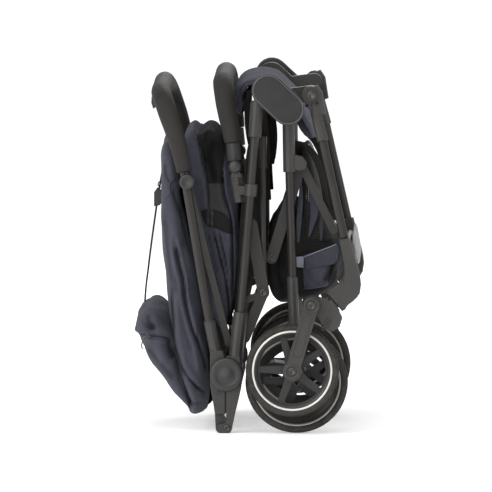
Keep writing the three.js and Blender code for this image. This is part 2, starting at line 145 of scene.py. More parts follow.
class Finish:
    """One material; node() adds any node from its type, its settings and its sockets' values or links."""

    def __init__(self, name):
        self.material = bpy.data.materials.new(name)
        self.material.use_nodes = True
        self.tree = self.material.node_tree
        self.tree.nodes.clear()
        self.place = self.node("ShaderNodeTexCoord", output="Object")

    def node(self, kind, settings=None, sockets=None, output=0):
        made = self.tree.nodes.new(kind)
        for key, value in (settings or {}).items():
            if key == "stops":
                ramp = made.color_ramp.elements
                while len(ramp) < len(value):
                    ramp.new(0.5)
                for element, (position, colour) in zip(ramp, value):
                    element.position, element.color = position, colour
            else:
                setattr(made, key, value)
        pairs = sockets.items() if isinstance(sockets, dict) else enumerate(sockets or [])
        for key, value in pairs:
            if isinstance(value, Field):
                self.tree.links.new(value.socket, made.inputs[key])
            else:
                made.inputs[key].default_value = value
        return Field(self, made.outputs[output]) if len(made.outputs) else None

    def stretched(self, x, y, z):
        return self.node("ShaderNodeVectorMath", {"operation": "MULTIPLY"}, [self.place, (x, y, z)])

    def noise(self, scale, detail=2.0, rough=0.5, where=None):
        return self.node("ShaderNodeTexNoise", {"noise_dimensions": "3D"},
                         {"Vector": where or self.place, "Scale": scale, "Detail": detail, "Roughness": rough})

    def thread(self, x, y, z, pitch):
        """A sine along one direction, one wave a pitch."""
        k = 2 * np.pi / pitch
        along = self.node("ShaderNodeVectorMath", {"operation": "DOT_PRODUCT"},
                          [self.place, (x * k, y * k, z * k)], output="Value")
        return along.maths("SINE", along)

    def mix(self, amount, first, second):
        return self.node("ShaderNodeMix", {"data_type": "RGBA"},
                         {0: amount, 6: tuple(first) + (1.0,) if not isinstance(first, Field) else first,
                          7: tuple(second) + (1.0,) if not isinstance(second, Field) else second}, output=2)

    def surface(self, height=None, depth=0.0001, **sockets):
        values = {key.replace("_", " ").title().replace("Ior", "IOR"): value for key, value in sockets.items()}
        for key, value in list(values.items()):
            if isinstance(value, tuple) and len(value) == 3:
                values[key] = value + (1.0,)
        if height is not None:
            values["Normal"] = self.node("ShaderNodeBump", None,
                                         {"Strength": 1.0, "Distance": depth, "Height": height})
        shader = self.node("ShaderNodeBsdfPrincipled", None, values)
        self.node("ShaderNodeOutputMaterial", None, {"Surface": shader})
        return self.material


def moulded(name, colour, rough=0.44, grain=1500.0, depth=0.00006):
    """Satin moulded plastic: fine spark-eroded grain, slow handling marks and paler patches."""
    f = Finish(name)
    fine = f.noise(grain, 3.0, 0.6)
    slow = f.noise(22.0, 3.0, 0.55)
    pale = tuple(c * 1.55 + 0.006 for c in colour)
    tone = f.mix((slow * 1.6 - 0.45).clamp(0.0, 1.0), colour, pale)
    return f.surface(fine, depth, base_color=tone, roughness=slow * 0.16 + fine * 0.08 + (rough - 0.12),
                     specular_ior_level=0.5)


def powder(name, colour, rough=0.36):
    """Powder coat on a tube: orange peel a millimetre across, tiny duller specks, faint rubbing along the length."""
    f = Finish(name)
    peel = f.noise(900.0, 1.0, 0.4)
    rub = f.noise(60.0, 4.0, 0.6, f.stretched(1.0, 1.0, 0.12))
    speck = (f.noise(3200.0, 0.0) - 0.66).clamp(0.0, 1.0) * 3.0
    tone = f.mix((rub * 1.4 - 0.4).clamp(0.0, 1.0), colour, tuple(c * 1.5 + 0.006 for c in colour))
    return f.surface(peel, 0.00005, base_color=tone, metallic=0.25, roughness=rub * 0.2 + speck * 0.3 + (rough - 0.1))


def leatherette(name, colour):
    """Pressed leather grain: cells about a millimetre, darker between them, softer and shinier where hands rub."""
    f = Finish(name)
    cells = f.node("ShaderNodeTexVoronoi", {"feature": "DISTANCE_TO_EDGE"},
                   {"Vector": f.place, "Scale": 820.0}, output="Distance")
    pores = f.noise(2400.0, 2.0)
    worn = f.noise(26.0, 3.0)
    dome = (cells * 6.0).clamp(0.0, 1.0)
    tone = f.mix((dome * 0.55 + worn * 0.45).clamp(0.0, 1.0), tuple(c * 0.6 for c in colour),
                 tuple(c * 1.35 for c in colour))
    return f.surface(dome + pores * 0.3, 0.00016, base_color=tone, roughness=0.72 - worn * 0.2,
                     specular_ior_level=0.24, sheen_weight=0.02, sheen_roughness=0.4)


def cloth(name, dark, light, pitch=0.0009, depth=0.00022, sheen=0.35, slub=0.5):
    """Melange plain weave: two crossing threads a pitch apart, streaks of lighter yarn both ways, slow changes of tone;
    the mesh's own "fold" attribute, 1 deep in a fold, darkens it there towards a third of the dark yarn's colour,
    painted shade in the folds."""
    f = Finish(name)
    weave = f.thread(0.7, 0.25, 0.7, pitch) * f.thread(0.7, 0.7, -0.7, pitch)
    yarn_up = f.noise(1.0, 3.0, 0.6, f.stretched(1300.0, 1300.0, 130.0))
    yarn_across = f.noise(1.0, 3.0, 0.6, f.stretched(1300.0, 130.0, 1300.0))
    slow = f.noise(14.0, 3.0, 0.6)
    amount = (yarn_up * slub + yarn_across * slub + weave * 0.12 + slow * 0.5 - 0.3).clamp(0.0, 1.0)
    # painted shade: the mesh's "fold" attribute, how deep each point sank in a crease, darkens the colour there
    fold = f.node("ShaderNodeAttribute", {"attribute_name": "fold"}, output="Fac").clamp(0.0, 0.85)
    tone = f.mix(fold, f.mix(amount, dark, light), tuple(c * 0.3 for c in dark))
    return f.surface(weave * 0.5 + yarn_up * 0.6 + yarn_across * 0.6, depth, base_color=tone,
                     roughness=0.86 + slow * 0.08, specular_ior_level=0.22, sheen_weight=sheen,
                     sheen_roughness=0.45, sheen_tint=(0.75, 0.8, 0.9))


def netting(name, colour, pitch=0.0034):
    """Open knitted net: round holes on a diagonal lattice, cut with alpha, matt thread between them."""
    f = Finish(name)
    lattice = f.thread(0.7, 0.5, 0.7, pitch) * f.thread(0.7, 0.5, -0.7, pitch)
    solid = 1.0 - ((lattice - 0.30) * 9.0).clamp(0.0, 1.0)
    fluff = f.noise(900.0, 2.0)
    tone = f.mix(fluff, colour, tuple(c * 2.2 for c in colour))
    return f.surface(lattice * -1.0, 0.0004, base_color=tone, roughness=0.85, alpha=solid)


def rubber(name, colour):
    """Foamed tyre: fine pores, grey scuffs and dust, dull."""
    f = Finish(name)
    pores = f.noise(1900.0, 2.0, 0.7)
    scuff = f.noise(90.0, 4.0, 0.65)
    tone = f.mix((scuff * 1.8 - 0.62).clamp(0.0, 1.0), colour, tuple(c * 2.3 + 0.012 for c in colour))
    return f.surface(pores, 0.00012, base_color=tone, roughness=0.74 + scuff * 0.16, specular_ior_level=0.35)


def bright(name, colour, rough=0.26, metal=0.95):
    """Plated or anodised metal: fine turned lines, slight staining."""
    f = Finish(name)
    stain = f.noise(70.0, 3.0)
    fine = f.noise(1.0, 2.0, 0.5, f.stretched(900.0, 5200.0, 900.0))
    tone = f.mix((stain * 1.3 - 0.4).clamp(0.0, 1.0), colour, tuple(c * 0.72 for c in colour))
    return f.surface(fine, 0.00002, base_color=tone, metallic=metal, roughness=stain * 0.14 + (rough - 0.05))


BLACK_PLASTIC = moulded("black moulding", (0.026, 0.0245, 0.023), 0.44)
CAP_PLASTIC = moulded("hub cap face", (0.011, 0.0112, 0.0118), 0.36, 2600.0, 0.00003)
SOFT_PLASTIC = moulded("satin black moulding", (0.020, 0.0192, 0.0185), 0.46)
RIM_PLASTIC = moulded("wheel moulding", (0.014, 0.0132, 0.0125), 0.42)
BLACK_TUBE = powder("black powder coat", (0.021, 0.0192, 0.0175))
BLACK_BAR = powder("black flat bar coat", (0.027, 0.025, 0.0235), 0.46)
GRIP = leatherette("black grip cover", (0.026, 0.0238, 0.0212))
SLATE = cloth("slate melange cloth", (0.020, 0.0205, 0.028), (0.100, 0.103, 0.132), sheen=0.08)
# a darker copy of the slate cloth: painted shade, used on one basket tape
SLATE_PAINTED_SHADE = cloth("shaded slate cloth", (0.018, 0.018, 0.022), (0.062, 0.063, 0.076), sheen=0.1)
SLATE_PALE = cloth("pale slate tape", (0.16, 0.17, 0.21), (0.32, 0.33, 0.39), 0.0011, sheen=0.1)
LINING = cloth("black lining", (0.004, 0.0037, 0.0034), (0.018, 0.0168, 0.0158), 0.0007, 0.00012, 0.06)
# a greyer copy of the black lining: painted light on the hood lining's lower part; also the band's grey stripes
LINING_GREY = cloth("grey lining", (0.022, 0.021, 0.022), (0.056, 0.055, 0.058), 0.0007, 0.00012, 0.08)
ELASTIC = cloth("black elastic", (0.006, 0.0055, 0.005), (0.024, 0.022, 0.020), 0.0016, 0.0003, 0.05)
WEBBING = cloth("black webbing", (0.008, 0.0075, 0.007), (0.030, 0.028, 0.026), 0.0014, 0.0003, 0.05)
CORD_BRAID = cloth("black braid", (0.006, 0.006, 0.006), (0.022, 0.022, 0.022), 0.0008, 0.0002, 0.05)
THREAD = cloth("dark seam thread", (0.012, 0.0125, 0.017), (0.034, 0.036, 0.046), 0.0006, 0.0001, 0.05)
GRIP_THREAD = cloth("grip seam thread", (0.010, 0.0095, 0.009), (0.024, 0.022, 0.020), 0.0006, 0.0001, 0.0)
NET = netting("black net", (0.009, 0.0085, 0.008))
TYRE = rubber("foam tyre", (0.024, 0.0222, 0.0198))
RING_FRONT = bright("front wheel ring", (0.80, 0.77, 0.72), 0.34, 0.35)
RING_REAR = bright("rear wheel ring", (0.40, 0.375, 0.34), 0.4, 0.5)
STEEL = bright("dark steel screw", (0.09, 0.088, 0.085), 0.28)
ZIP_METAL = bright("gunmetal pull", (0.13, 0.125, 0.115), 0.3)
RIM_LINE = bright("cap rim line", (0.16, 0.155, 0.15), 0.36, 0.4)
SPRING = bright("spring steel", (0.10, 0.095, 0.09), 0.38)
PALE_TRIM = cloth("light reflective trim", (0.24, 0.235, 0.23), (0.42, 0.41, 0.40), 0.0008, 0.0001, 0.1)


# ------------------------------------------------------------------ mesh helpers
def smooth_line(points, count):
    """Points spaced evenly by chord along a cubic through the given points (Hermite, central tangents)."""
    p = np.asarray(points, float)
    t = np.concatenate([[0.0], np.cumsum(np.linalg.norm(np.diff(p, axis=0), axis=1))])
    slope = np.gradient(p, t, axis=0)
    s = np.linspace(0.0, t[-1], count)
    i = np.clip(np.searchsorted(t, s, side="right") - 1, 0, len(t) - 2)
    h = (t[i + 1] - t[i])[:, None]
    u = ((s - t[i]) / h[:, 0])[:, None]
    return ((2 * u**3 - 3 * u**2 + 1) * p[i] + (u**3 - 2 * u**2 + u) * h * slope[i]
            + (-2 * u**3 + 3 * u**2) * p[i + 1] + (u**3 - u**2) * h * slope[i + 1])


def build(name, points, faces, material, smooth=True):
    """A mesh object from an (n, 3) array in millimetres and lists of faces."""
    mesh = bpy.data.meshes.new(name)
    mesh.from_pydata((np.asarray(points, float) * MM).tolist(), [], faces)
    mesh.materials.append(material)
    mesh.polygons.foreach_set("use_smooth", np.full(len(mesh.polygons), smooth))
    mesh.update()
    obj = bpy.data.objects.new(name, mesh)
    bpy.context.scene.collection.objects.link(obj)
    return obj


def ring_faces(rows, columns, closed=False, caps=True):
    """Quads between neighbouring rings of a (rows, columns) grid; the last row joins the first when closed."""
    r = np.arange(rows if closed else rows - 1)
    c = np.arange(columns)
    a = (r[:, None] * columns + c).ravel()
    b = (r[:, None] * columns + (c + 1) % columns).ravel()
    up = ((r[:, None] + 1) % rows * columns + c).ravel()
    up_b = ((r[:, None] + 1) % rows * columns + (c + 1) % columns).ravel()
    faces = np.stack([a, b, up_b, up], axis=1).tolist()
    if caps and not closed:
        faces.append(list(range(columns))[::-1])
        faces.append([(rows - 1) * columns + k for k in range(columns)])
    return faces


def facing_out(obj):
    """Turns faces outward when the mesh's signed volume is negative."""
    mesh = obj.data
    mesh.calc_loop_triangles()
    co = np.empty(len(mesh.vertices) * 3)
    mesh.vertices.foreach_get("co", co)
    tri = np.empty(len(mesh.loop_triangles) * 3, int)
    mesh.loop_triangles.foreach_get("vertices", tri)
    a, b, c = (co.reshape(-1, 3)[tri.reshape(-1, 3)[:, k]] for k in range(3))
    if np.einsum("ij,ij->i", a, np.cross(b, c)).sum() < 0:
        mesh.flip_normals()
    return obj


def fit(piece, body):
    """The piece rides on the body; it is given back."""
    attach(piece, body)
    return piece


def stuffed(piece, body, node):
    """A padded piece that stands for a plain node of the frame."""
    fit(piece, body)
    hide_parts(node)


def grid_faces(rows, columns):
    """Quads of an open (rows, columns) grid."""
    i = np.arange(rows - 1)[:, None] * columns + np.arange(columns - 1)
    return np.stack([i, i + 1, i + columns + 1, i + columns], -1).reshape(-1, 4).tolist()


def thickened(piece, thick):
    """The sheet gains an even thickness in millimetres about its middle."""
    solid = piece.modifiers.new("thickness", "SOLIDIFY")
    solid.thickness, solid.offset = thick * MM, 0.0
    return piece


def across(points, side):
    """The same points on the left (+1) or right (-1) side."""
    p = np.array(points, float)
    p[..., 1] *= side
    return p


def tube(name, path, radius, material, sides=12, closed=False, count=None):
    """A round sweep: rings square to the path, turned as little as possible from one to the next; radius may vary
    along the path."""
    p = smooth_line(path, count or max(12, 6 * len(path))) if not closed else np.asarray(path, float)
    n = len(p)
    way = np.roll(p, -1, 0) - np.roll(p, 1, 0) if closed else np.gradient(p, axis=0)
    way /= np.linalg.norm(way, axis=1)[:, None]
    first = np.cross(way[0], (0.0, 1.0, 0.0) if abs(way[0][1]) < 0.8 else (1.0, 0.0, 0.0))
    across_dirs = [first / np.linalg.norm(first)]
    for k in range(1, n):
        d = across_dirs[-1] - way[k] * np.dot(across_dirs[-1], way[k])
        across_dirs.append(d / np.linalg.norm(d))
    u = np.array(across_dirs)
    w = np.cross(way, u)
    r = np.interp(np.linspace(0, 1, n), np.linspace(0, 1, len(np.atleast_1d(radius))), np.atleast_1d(radius))
    a = np.linspace(0, 2 * np.pi, sides, endpoint=False)
    offset = (u[:, None] * np.cos(a)[None, :, None] + w[:, None] * np.sin(a)[None, :, None]) * r[:, None, None]
    return facing_out(build(name, (p[:, None] + offset).reshape(-1, 3), ring_faces(n, sides, closed), material))


def turned(name, station, profile, material, segments=48, side=1.0):
    """A turned piece about a cross axis: each [radius, layer] pair of the profile makes one ring; ends close."""
    profile = np.asarray(profile, float)
    a = np.linspace(0, 2 * np.pi, segments, endpoint=False)
    p = np.empty((len(profile), segments, 3))
    p[..., 0] = station[0] + profile[:, :1] * np.cos(a)
    p[..., 1] = profile[:, 1:] * side
    p[..., 2] = station[1] + profile[:, :1] * np.sin(a)
    closed = np.allclose(profile[0], profile[-1])
    if closed:
        p = p[:-1]
    return facing_out(build(name, p.reshape(-1, 3), ring_faces(len(p), segments, closed), material))


def plate(name, outline, low, high, material, side, edge):
    """A flat piece cut to a side-view outline between two layers, its edges rounded by a Bevel."""
    o = np.asarray(outline, float)
    n = len(o)
    p = np.empty((2, n, 3))
    p[..., 0], p[..., 2] = o[:, 0], o[:, 1]
    p[0, :, 1], p[1, :, 1] = low * side, high * side
    obj = facing_out(build(name, p.reshape(-1, 3), ring_faces(2, n), material, smooth=False))
    bevel = obj.modifiers.new("edges", "BEVEL")
    bevel.width, bevel.segments, bevel.limit_method = edge * MM, 2, "ANGLE"
    return obj


def lozenge(a, b, radius, count=40):
    """Outline of two equal circles joined by straight sides."""
    a, b = np.asarray(a, float), np.asarray(b, float)
    slope = np.arctan2(*(b - a)[::-1])
    t = np.linspace(np.pi / 2, 1.5 * np.pi, count)
    one = a + radius * np.stack([np.cos(t + slope), np.sin(t + slope)], 1)
    two = b + radius * np.stack([np.cos(t + slope + np.pi), np.sin(t + slope + np.pi)], 1)
    return np.vstack([one, two])


def hex_screw(name, station, layer, radius, body, side):
    """A round screw head with a dished hexagon socket: rings of a turned profile, the socket's rings made six-sided."""
    profile = np.array([[0, 0.2], [radius * 0.42, 0.2], [radius * 0.46, 1.3], [radius * 0.8, 1.5],
                        [radius, 0.9], [radius, -0.6], [0, -0.6]])
    a = np.linspace(0, 2 * np.pi, 24, endpoint=False)
    hexed = 1.0 / np.cos((a + np.pi / 6) % (np.pi / 3) - np.pi / 6) * 0.88
    p = np.empty((len(profile), 24, 3))
    share = np.where(profile[:, 0] < radius * 0.5, 1.0, 0.0)[:, None]
    r = profile[:, :1] * (share * hexed + (1 - share))
    p[..., 0] = station[0] + r * np.cos(a)
    p[..., 1] = (layer + profile[:, 1:]) * side
    p[..., 2] = station[1] + r * np.sin(a)
    fit(facing_out(build(name, p.reshape(-1, 3), ring_faces(len(profile), 24), STEEL)), body)


# ------------------------------------------------------------------ CAD nodes that stay: better finishes
def dress(names, material):
    for name in names:
        NODES[name].data.materials.clear()
        NODES[name].data.materials.append(material)


def both(*names):
    return [f"{name}_{side}" for name in names for side, _ in SIDES]


dress(["hub_frame"] + both("hub_cap", "push_sleeve", "fold_casting_lower", "fold_casting_upper", "bumper_socket",
                           "bumper_adapter", "rear_sleeve", "rear_foot", "front_sleeve", "front_knuckle",
                           "caster_swivel", "caster_fork") + ["brake_pedal", "hood_bow", "cord_buckle",
                                                              "release_slider"], BLACK_PLASTIC)
dress(both("push_tube", "handle_tube", "rear_tube", "front_tube") + ["push_cross_tube", "rear_axle_tube",
                                                                      "footrest_tube"], BLACK_TUBE)
dress(both("diagonal_stay"), BLACK_BAR)
dress(both("rear_rim", "front_rim"), RIM_PLASTIC)
dress(both("bumper_socket", "hub_cap"), SOFT_PLASTIC)

set_camera()
set_light()

# ------------------------------------------------------------------ recline cord
CORD_ROUTE = np.array([[-130, 0, 378], [-132.2, 0, 366], [-134.8, 0, 350], [-137.4, 0, 334], [-140, 0, 316],
                       [-143.6, 0, 290], [-147.6, 0, 260], [-151, 0, 232], [-154, 0, 208],
                       [-156, 0, 183]], float)


def recline_cord():
    """Round braid along the cord's own route, from the back's edge through the buckle to the top of the flap."""
    line = smooth_line(CORD_ROUTE, 60)
    cord = tube("recline_braid", CORD_ROUTE, 1.4, CORD_BRAID, 10, count=60)
    fit(cord, "handle")
    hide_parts("recline_cord")
    ring = tube("buckle_ring", [(-131.5 + 4.4 * np.cos(t), 0.8 * np.sin(2 * t), 361 + 4.6 * np.sin(t))
                                for t in np.linspace(0, 2 * np.pi, 24, endpoint=False)], 0.9, ZIP_METAL, 8, True)
    fit(ring, "handle")
    tuple(line[0] * MM)
    (line * MM).tolist()


recline_cord()


# ------------------------------------------------------------------ padded covers on the grip and bumper bar
def cover(name, points, radii, node, body):
    """A leather sleeve on a bent bar: the bar's path with a faint swelling between cuffs and a raised seam inside."""
    half = np.array(points, float)
    path = np.vstack([half, across(half[::-1], -1.0)])
    line = smooth_line(path, 150)
    shell = tube(name, path, radii, GRIP, 28, count=150)
    fit(shell, body)
    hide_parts(node)
    way = np.gradient(line, axis=0)
    way /= np.linalg.norm(way, axis=1)[:, None]
    inward = np.cross((1.0, 0.0, 0.0), way)
    inward /= np.maximum(np.linalg.norm(inward, axis=1), 1e-6)[:, None]
    r = np.interp(np.linspace(0, 1, 150), np.linspace(0, 1, len(radii)), radii)
    seam_path = line + inward * (r[:, None] - 0.25)
    fit(tube(name + "_seam", seam_path[4:-4:3], 0.55, GRIP_THREAD, 6, count=140), body)


GRIP_POINTS = [[-92.8, 197, 393], [-98, 197, 417], [-107.5, 197, 452], [-116.5, 194, 478], [-123, 180, 496.5],
               [-127.5, 155, 506.5], [-128.5, 120, 509], [-128.5, 60, 509]]
BUMPER_POINTS = [[-20.6, 176, 436], [-22.5, 176, 451], [-27, 176, 474], [-30.5, 173, 494], [-33, 160, 511.5],
                 [-34.5, 138, 521], [-35, 105, 523], [-35, 50, 523]]
cover("grip_cover", GRIP_POINTS, [11.2, 12.2, 13.8, 14.6, 14.8] + [14.9] * 10 + [14.8, 14.6, 13.8, 12.2, 11.2],
      "grip", "handle")
cover("bumper_cover", BUMPER_POINTS, [12.6, 14.2, 15.4, 16.0, 16.0] + [15.6] * 8 + [16.0, 16.0, 15.4, 14.2, 12.6],
      "bumper_bar", "bumper")


# ------------------------------------------------------------------ small fittings, on both sides
def collar(name, a, b, radius, layer, body, side, thick=0.9):
    """A thin rolled lip at the mouth of a sleeve: a round ring square to the tube that runs from a to b."""
    a3, b3 = np.array([a[0], layer * side, a[1]], float), np.array([b[0], layer * side, b[1]], float)
    axis = (b3 - a3) / np.linalg.norm(b3 - a3)
    u = np.cross(axis, (0.0, 1.0, 0.0))
    w = np.cross(axis, u)
    t = np.linspace(0, 2 * np.pi, 40, endpoint=False)[:, None]
    path = a3 + radius * (u * np.cos(t) + w * np.sin(t))
    fit(tube(name, path, thick, BLACK_PLASTIC, 8, True), body)


def hub_trim(label, side):
    """Fine bright line just inside the cap's rim, a slightly raised face, and the screws round the hub."""
    rim = lozenge(HUB_A, HUB_B, 22.2)
    loop = np.stack([rim[:, 0], np.full(len(rim), 217.0 * side), rim[:, 1]], 1)
    fit(tube(f"cap_line_{label}", loop, 0.55, RIM_LINE, 6, True), "hub")
    fit(plate(f"cap_face_{label}", lozenge(HUB_A, HUB_B, 21.2), 216.4, 217.7, CAP_PLASTIC, side, 0.5),
        "hub")
    for key, station, layer, radius, body in (
        ("front_leg", HUB_C, 209.0, 6.4, "hub"), ("link", (26, 210), 187.6, 5.6, "push_frame"),
        ("stay", (38, 260), 155.2, 5.4, "stays"), ("fold", FOLD_PIN, 208.6, 5.0, "push_frame"),
        ("casting", (-42, 60), 204.2, 3.2, "handle"), ("suspension", SUSPENSION, 261.4, 6.2, f"fork_{label}"),
        ("axle", FRONT_AXLE, 261.4, 6.0, f"fork_{label}"), ("knuckle", (144, 232), 245.6, 2.6, "front_frame"),
        ("rear_axle", REAR_AXLE, 209.2, 6.5, "rear_frame"),
    ):
        hex_screw(f"{key}_screw_{label}", station, layer, radius, body, side)
    for k, (x, z) in enumerate(((91.5, 492.5), (99.0, 494.0), (106.5, 496.5))):
        lip = turned(f"top_block_pocket_{label}_{k}", (x, z),
                     [[1.9, 203.6], [2.0, 204.9], [2.6, 205.2], [3.2, 204.8], [3.3, 203.0], [1.9, 203.0], [1.9, 203.6]],
                     BLACK_PLASTIC, 20, side)
        # the floor of each pocket takes the near-black elastic cloth: painted shade in the hollow
        painted_shade_well = turned(f"top_block_shade_well_{label}_{k}", (x, z), [[0, 203.9], [2.1, 203.9], [2.1, 203.0], [0, 203.0]],
                      ELASTIC, 20, side)
        for piece in (lip, painted_shade_well):
            fit(piece, "front_frame")


def sleeve_lips(label, side):
    """Rolled lips where tubes leave their sleeves, ribs round the bumper adapter, caps on the round pivots."""
    for key, mouth, inner, radius, layer, body in (
        ("push_top", (13, 446), (12, 436), 8.9, 197, "push_frame"),
        ("push_low", (-8, 180.5), (-9, 170), 10.2, 197, "push_frame"),
        ("handle_low", (-55.3, 167.8), (-56.6, 177), 8.2, 195.6, "handle"),
        ("rear_top", (64.5, 391.6), (64.7, 381), 8.2, 171, "rear_frame"),
        ("rear_low", (69, 232.2), (69.2, 242), 7.4, 171, "rear_frame"),
    ):
        collar(f"lip_{key}_{label}", mouth, inner, radius, layer, body, side)
    for k, (x, z) in enumerate(((-13.6, 379), (-12.5, 372), (-11.4, 365))):
        collar(f"adapter_rib_{label}_{k}", (x, z), (x + 1.0, z - 6.8), 9.6, 178, "push_frame", side, 0.55)
    fit(turned(f"bumper_ball_{label}", BAR_PIVOT,
                  [[0, 200.4], [4, 200.2], [7.6, 198.6], [9.6, 195.6], [10.2, 191.8], [9.4, 188.6], [7.4, 186.2],
                   [0, 186.2]], SOFT_PLASTIC, 40, side), "push_frame")
    fit(turned(f"hood_disc_{label}", HOOD_PIVOT,
                 [[0, 210.0], [6.6, 210.0], [7.4, 210.6], [9.8, 210.4], [11.2, 209.2], [11.6, 206.6], [11.2, 204.0],
                  [0, 204.0]], SOFT_PLASTIC, 44, side), "handle")
    fit(turned(f"fold_disc_face_{label}", FOLD_DISC,
                  [[0, 214.2], [9.6, 214.2], [10.6, 213.6], [15.6, 213.6], [16.6, 214.3], [22.2, 214.3],
                   [24.6, 213.0], [25.4, 210.4], [25.4, 206], [0, 206]], SOFT_PLASTIC, 64, side),
        "push_frame")


def spring_coils():
    """Suspension spring: a helix of five and a half turns about a line just behind the swivel block's lower jaw."""
    t = np.linspace(0, 1, 90)
    a3, b3 = np.array([117.5, 0, 158.0]), np.array([126.5, 0, 177.0])
    axis = (b3 - a3) / np.linalg.norm(b3 - a3)
    u = np.array([0.0, 1.0, 0.0])
    w = np.cross(axis, u)
    turn = 2 * np.pi * 5.5 * t[:, None]
    path = a3 + (b3 - a3) * t[:, None] + 5.6 * (u * np.cos(turn) + w * np.sin(turn))
    path[:, 1] += 245.6
    return path


def fork_panel(label, side):
    """Sunken panel on the fork's outer arm: a raised lip tube round a long rounded field, and the arm's foot ring."""
    a = np.array([93.0, 176.0])
    b = np.array([78.0, 124.0])
    rim = lozenge(a, b, 6.4, 16)
    loop = np.stack([rim[:, 0], np.full(len(rim), 261.1 * side), rim[:, 1]], 1)
    fit(tube(f"fork_lip_{label}", loop, 0.7, BLACK_PLASTIC, 6, True), f"fork_{label}")
    for key, station in (("top", SUSPENSION), ("foot", FRONT_AXLE)):
        fit(turned(f"fork_boss_{key}_{label}", station,
                      [[8.6, 262.2], [10.6, 262.4], [11.6, 261.6], [11.6, 260.6], [8.4, 260.6], [8.6, 262.2]],
                      BLACK_PLASTIC, 40, side), f"fork_{label}")


# ------------------------------------------------------------------ wheels
def tread(name, axle, radius, ring_r, middle, width, node, body, side, blocks):
    """A tyre: its section (radius, layer) is carried round the axle. Small blocks stand on both shoulders: a square
    wave of the angle, half a block out of step between the two shoulders, sinks the section where it is low."""
    half = width / 2
    r, y = np.array([[ring_r - 3.2, -half + 6], [ring_r - 0.6, -half + 5.4], [ring_r + 0.5, -half + 1.6],
                     [ring_r + 1.6, -half + 0.5], [ring_r + 3.4, -half + 0.1], [radius - 4.4, -half + 0.2],
                     [radius - 3.6, -half + 0.5], [radius - 3.5, -half + 0.6], [radius - 1.4, -half + 2.6],
                     [radius - 1.3, -half + 2.8], [radius - 0.4, -half + 5.6], [radius - 0.35, -half + 5.8],
                     [radius, -1.6], [radius - 0.9, -1.0], [radius - 0.9, 1.0], [radius, 1.6],
                     [radius - 0.35, half - 5.8], [radius - 0.4, half - 5.6], [radius - 1.3, half - 2.8],
                     [radius - 1.4, half - 2.6], [radius - 3.5, half - 0.6], [radius - 3.6, half - 0.5],
                     [radius - 4.4, half - 0.2], [ring_r + 3.4, half - 0.1], [ring_r + 1.6, half - 0.5],
                     [ring_r + 0.5, half - 1.6], [ring_r - 0.6, half - 5.4], [ring_r - 3.2, half - 6]]).T
    a = np.linspace(0, 2 * np.pi, blocks * 4, endpoint=False)
    row = ((r > radius - 3.55) & (np.abs(y) > half - 5.7)).astype(float)
    wave = np.where(np.sin(blocks * a[None, :] + np.where(y > 0, 0.4, np.pi + 0.4)[:, None]) < 0, 1.0, 0.0)
    sink = row[:, None] * wave * 0.9
    p = np.empty((len(r), len(a), 3))
    p[..., 0] = axle[0] + (r[:, None] - sink) * np.cos(a)
    p[..., 1] = (middle + y[:, None] - np.sign(y)[:, None] * sink * 0.6) * side
    p[..., 2] = axle[1] + (r[:, None] - sink) * np.sin(a)
    tyre = facing_out(build(name, p.reshape(-1, 3), ring_faces(len(r), len(a), True), TYRE, smooth=False))
    fit(tyre, body)
    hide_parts(node)
    return tyre


def wheel_trim(key, axle, middle, width, ring_r, metal, label, side, body):
    """A rounded ring on each face of the rim, a dark stepped bead inside it, and a domed cap over the bearing."""
    half = width / 2
    for face, sign in (("outer", 1.0), ("inner", -1.0)):
        out = half - 1.2
        ring = [[ring_r - 3.5, out - 4.0], [ring_r - 3.4, out - 1.0], [ring_r - 2.7, out - 0.2],
                [ring_r - 1.7, out], [ring_r - 0.7, out - 0.2], [ring_r, out - 1.0], [ring_r, out - 4.0],
                [ring_r - 3.5, out - 4.0]]
        deep = ring_r - (17.0 if key == "rear" else 10.5)
        bead = [[deep, out - 7.5], [deep + 0.7, out - 5.6], [ring_r - 6.4, out - 3.4], [ring_r - 4.4, out - 2.2],
                [ring_r - 3.2, out - 2.0], [ring_r - 3.2, out - 7.5], [deep, out - 7.5]]
        cap = [[6.2, half - 1.6], [9, half - 1.0], [12.2, half - 1.9], [14.6, half - 4.4], [15.4, half - 8],
               [6.2, half - 8], [6.2, half - 1.6]]
        for part, profile, finish in (("ring", ring, metal), ("bead", bead, RIM_PLASTIC), ("cap", cap, BLACK_PLASTIC)):
            shape = [[r, middle + sign * y] for r, y in profile]
            fit(turned(f"{key}_{part}_{face}_{label}", axle, shape, finish, 96 if part == "ring" else 64, side),
                body)


for label, side in SIDES:
    hub_trim(label, side)
    sleeve_lips(label, side)
    fork_panel(label, side)
    coils = across(spring_coils(), side)
    fit(tube(f"spring_{label}", coils, 0.8, SPRING, 7, count=240), f"caster_{label}")
    tread(f"rear_tread_{label}", REAR_AXLE, 77.0, 66.8, 195, 24, f"rear_tyre_{label}", f"rear_wheel_{label}", side, 126)
    tread(f"front_tread_{label}", FRONT_AXLE, 70.0, 60.6, 236, 27, f"front_tyre_{label}", f"front_wheel_{label}",
          side, 116)
    wheel_trim("rear", REAR_AXLE, 195, 24, 66.8, RING_REAR, label, side, f"rear_wheel_{label}")
    wheel_trim("front", FRONT_AXLE, 236, 27, 60.6, RING_FRONT, label, side, f"front_wheel_{label}")


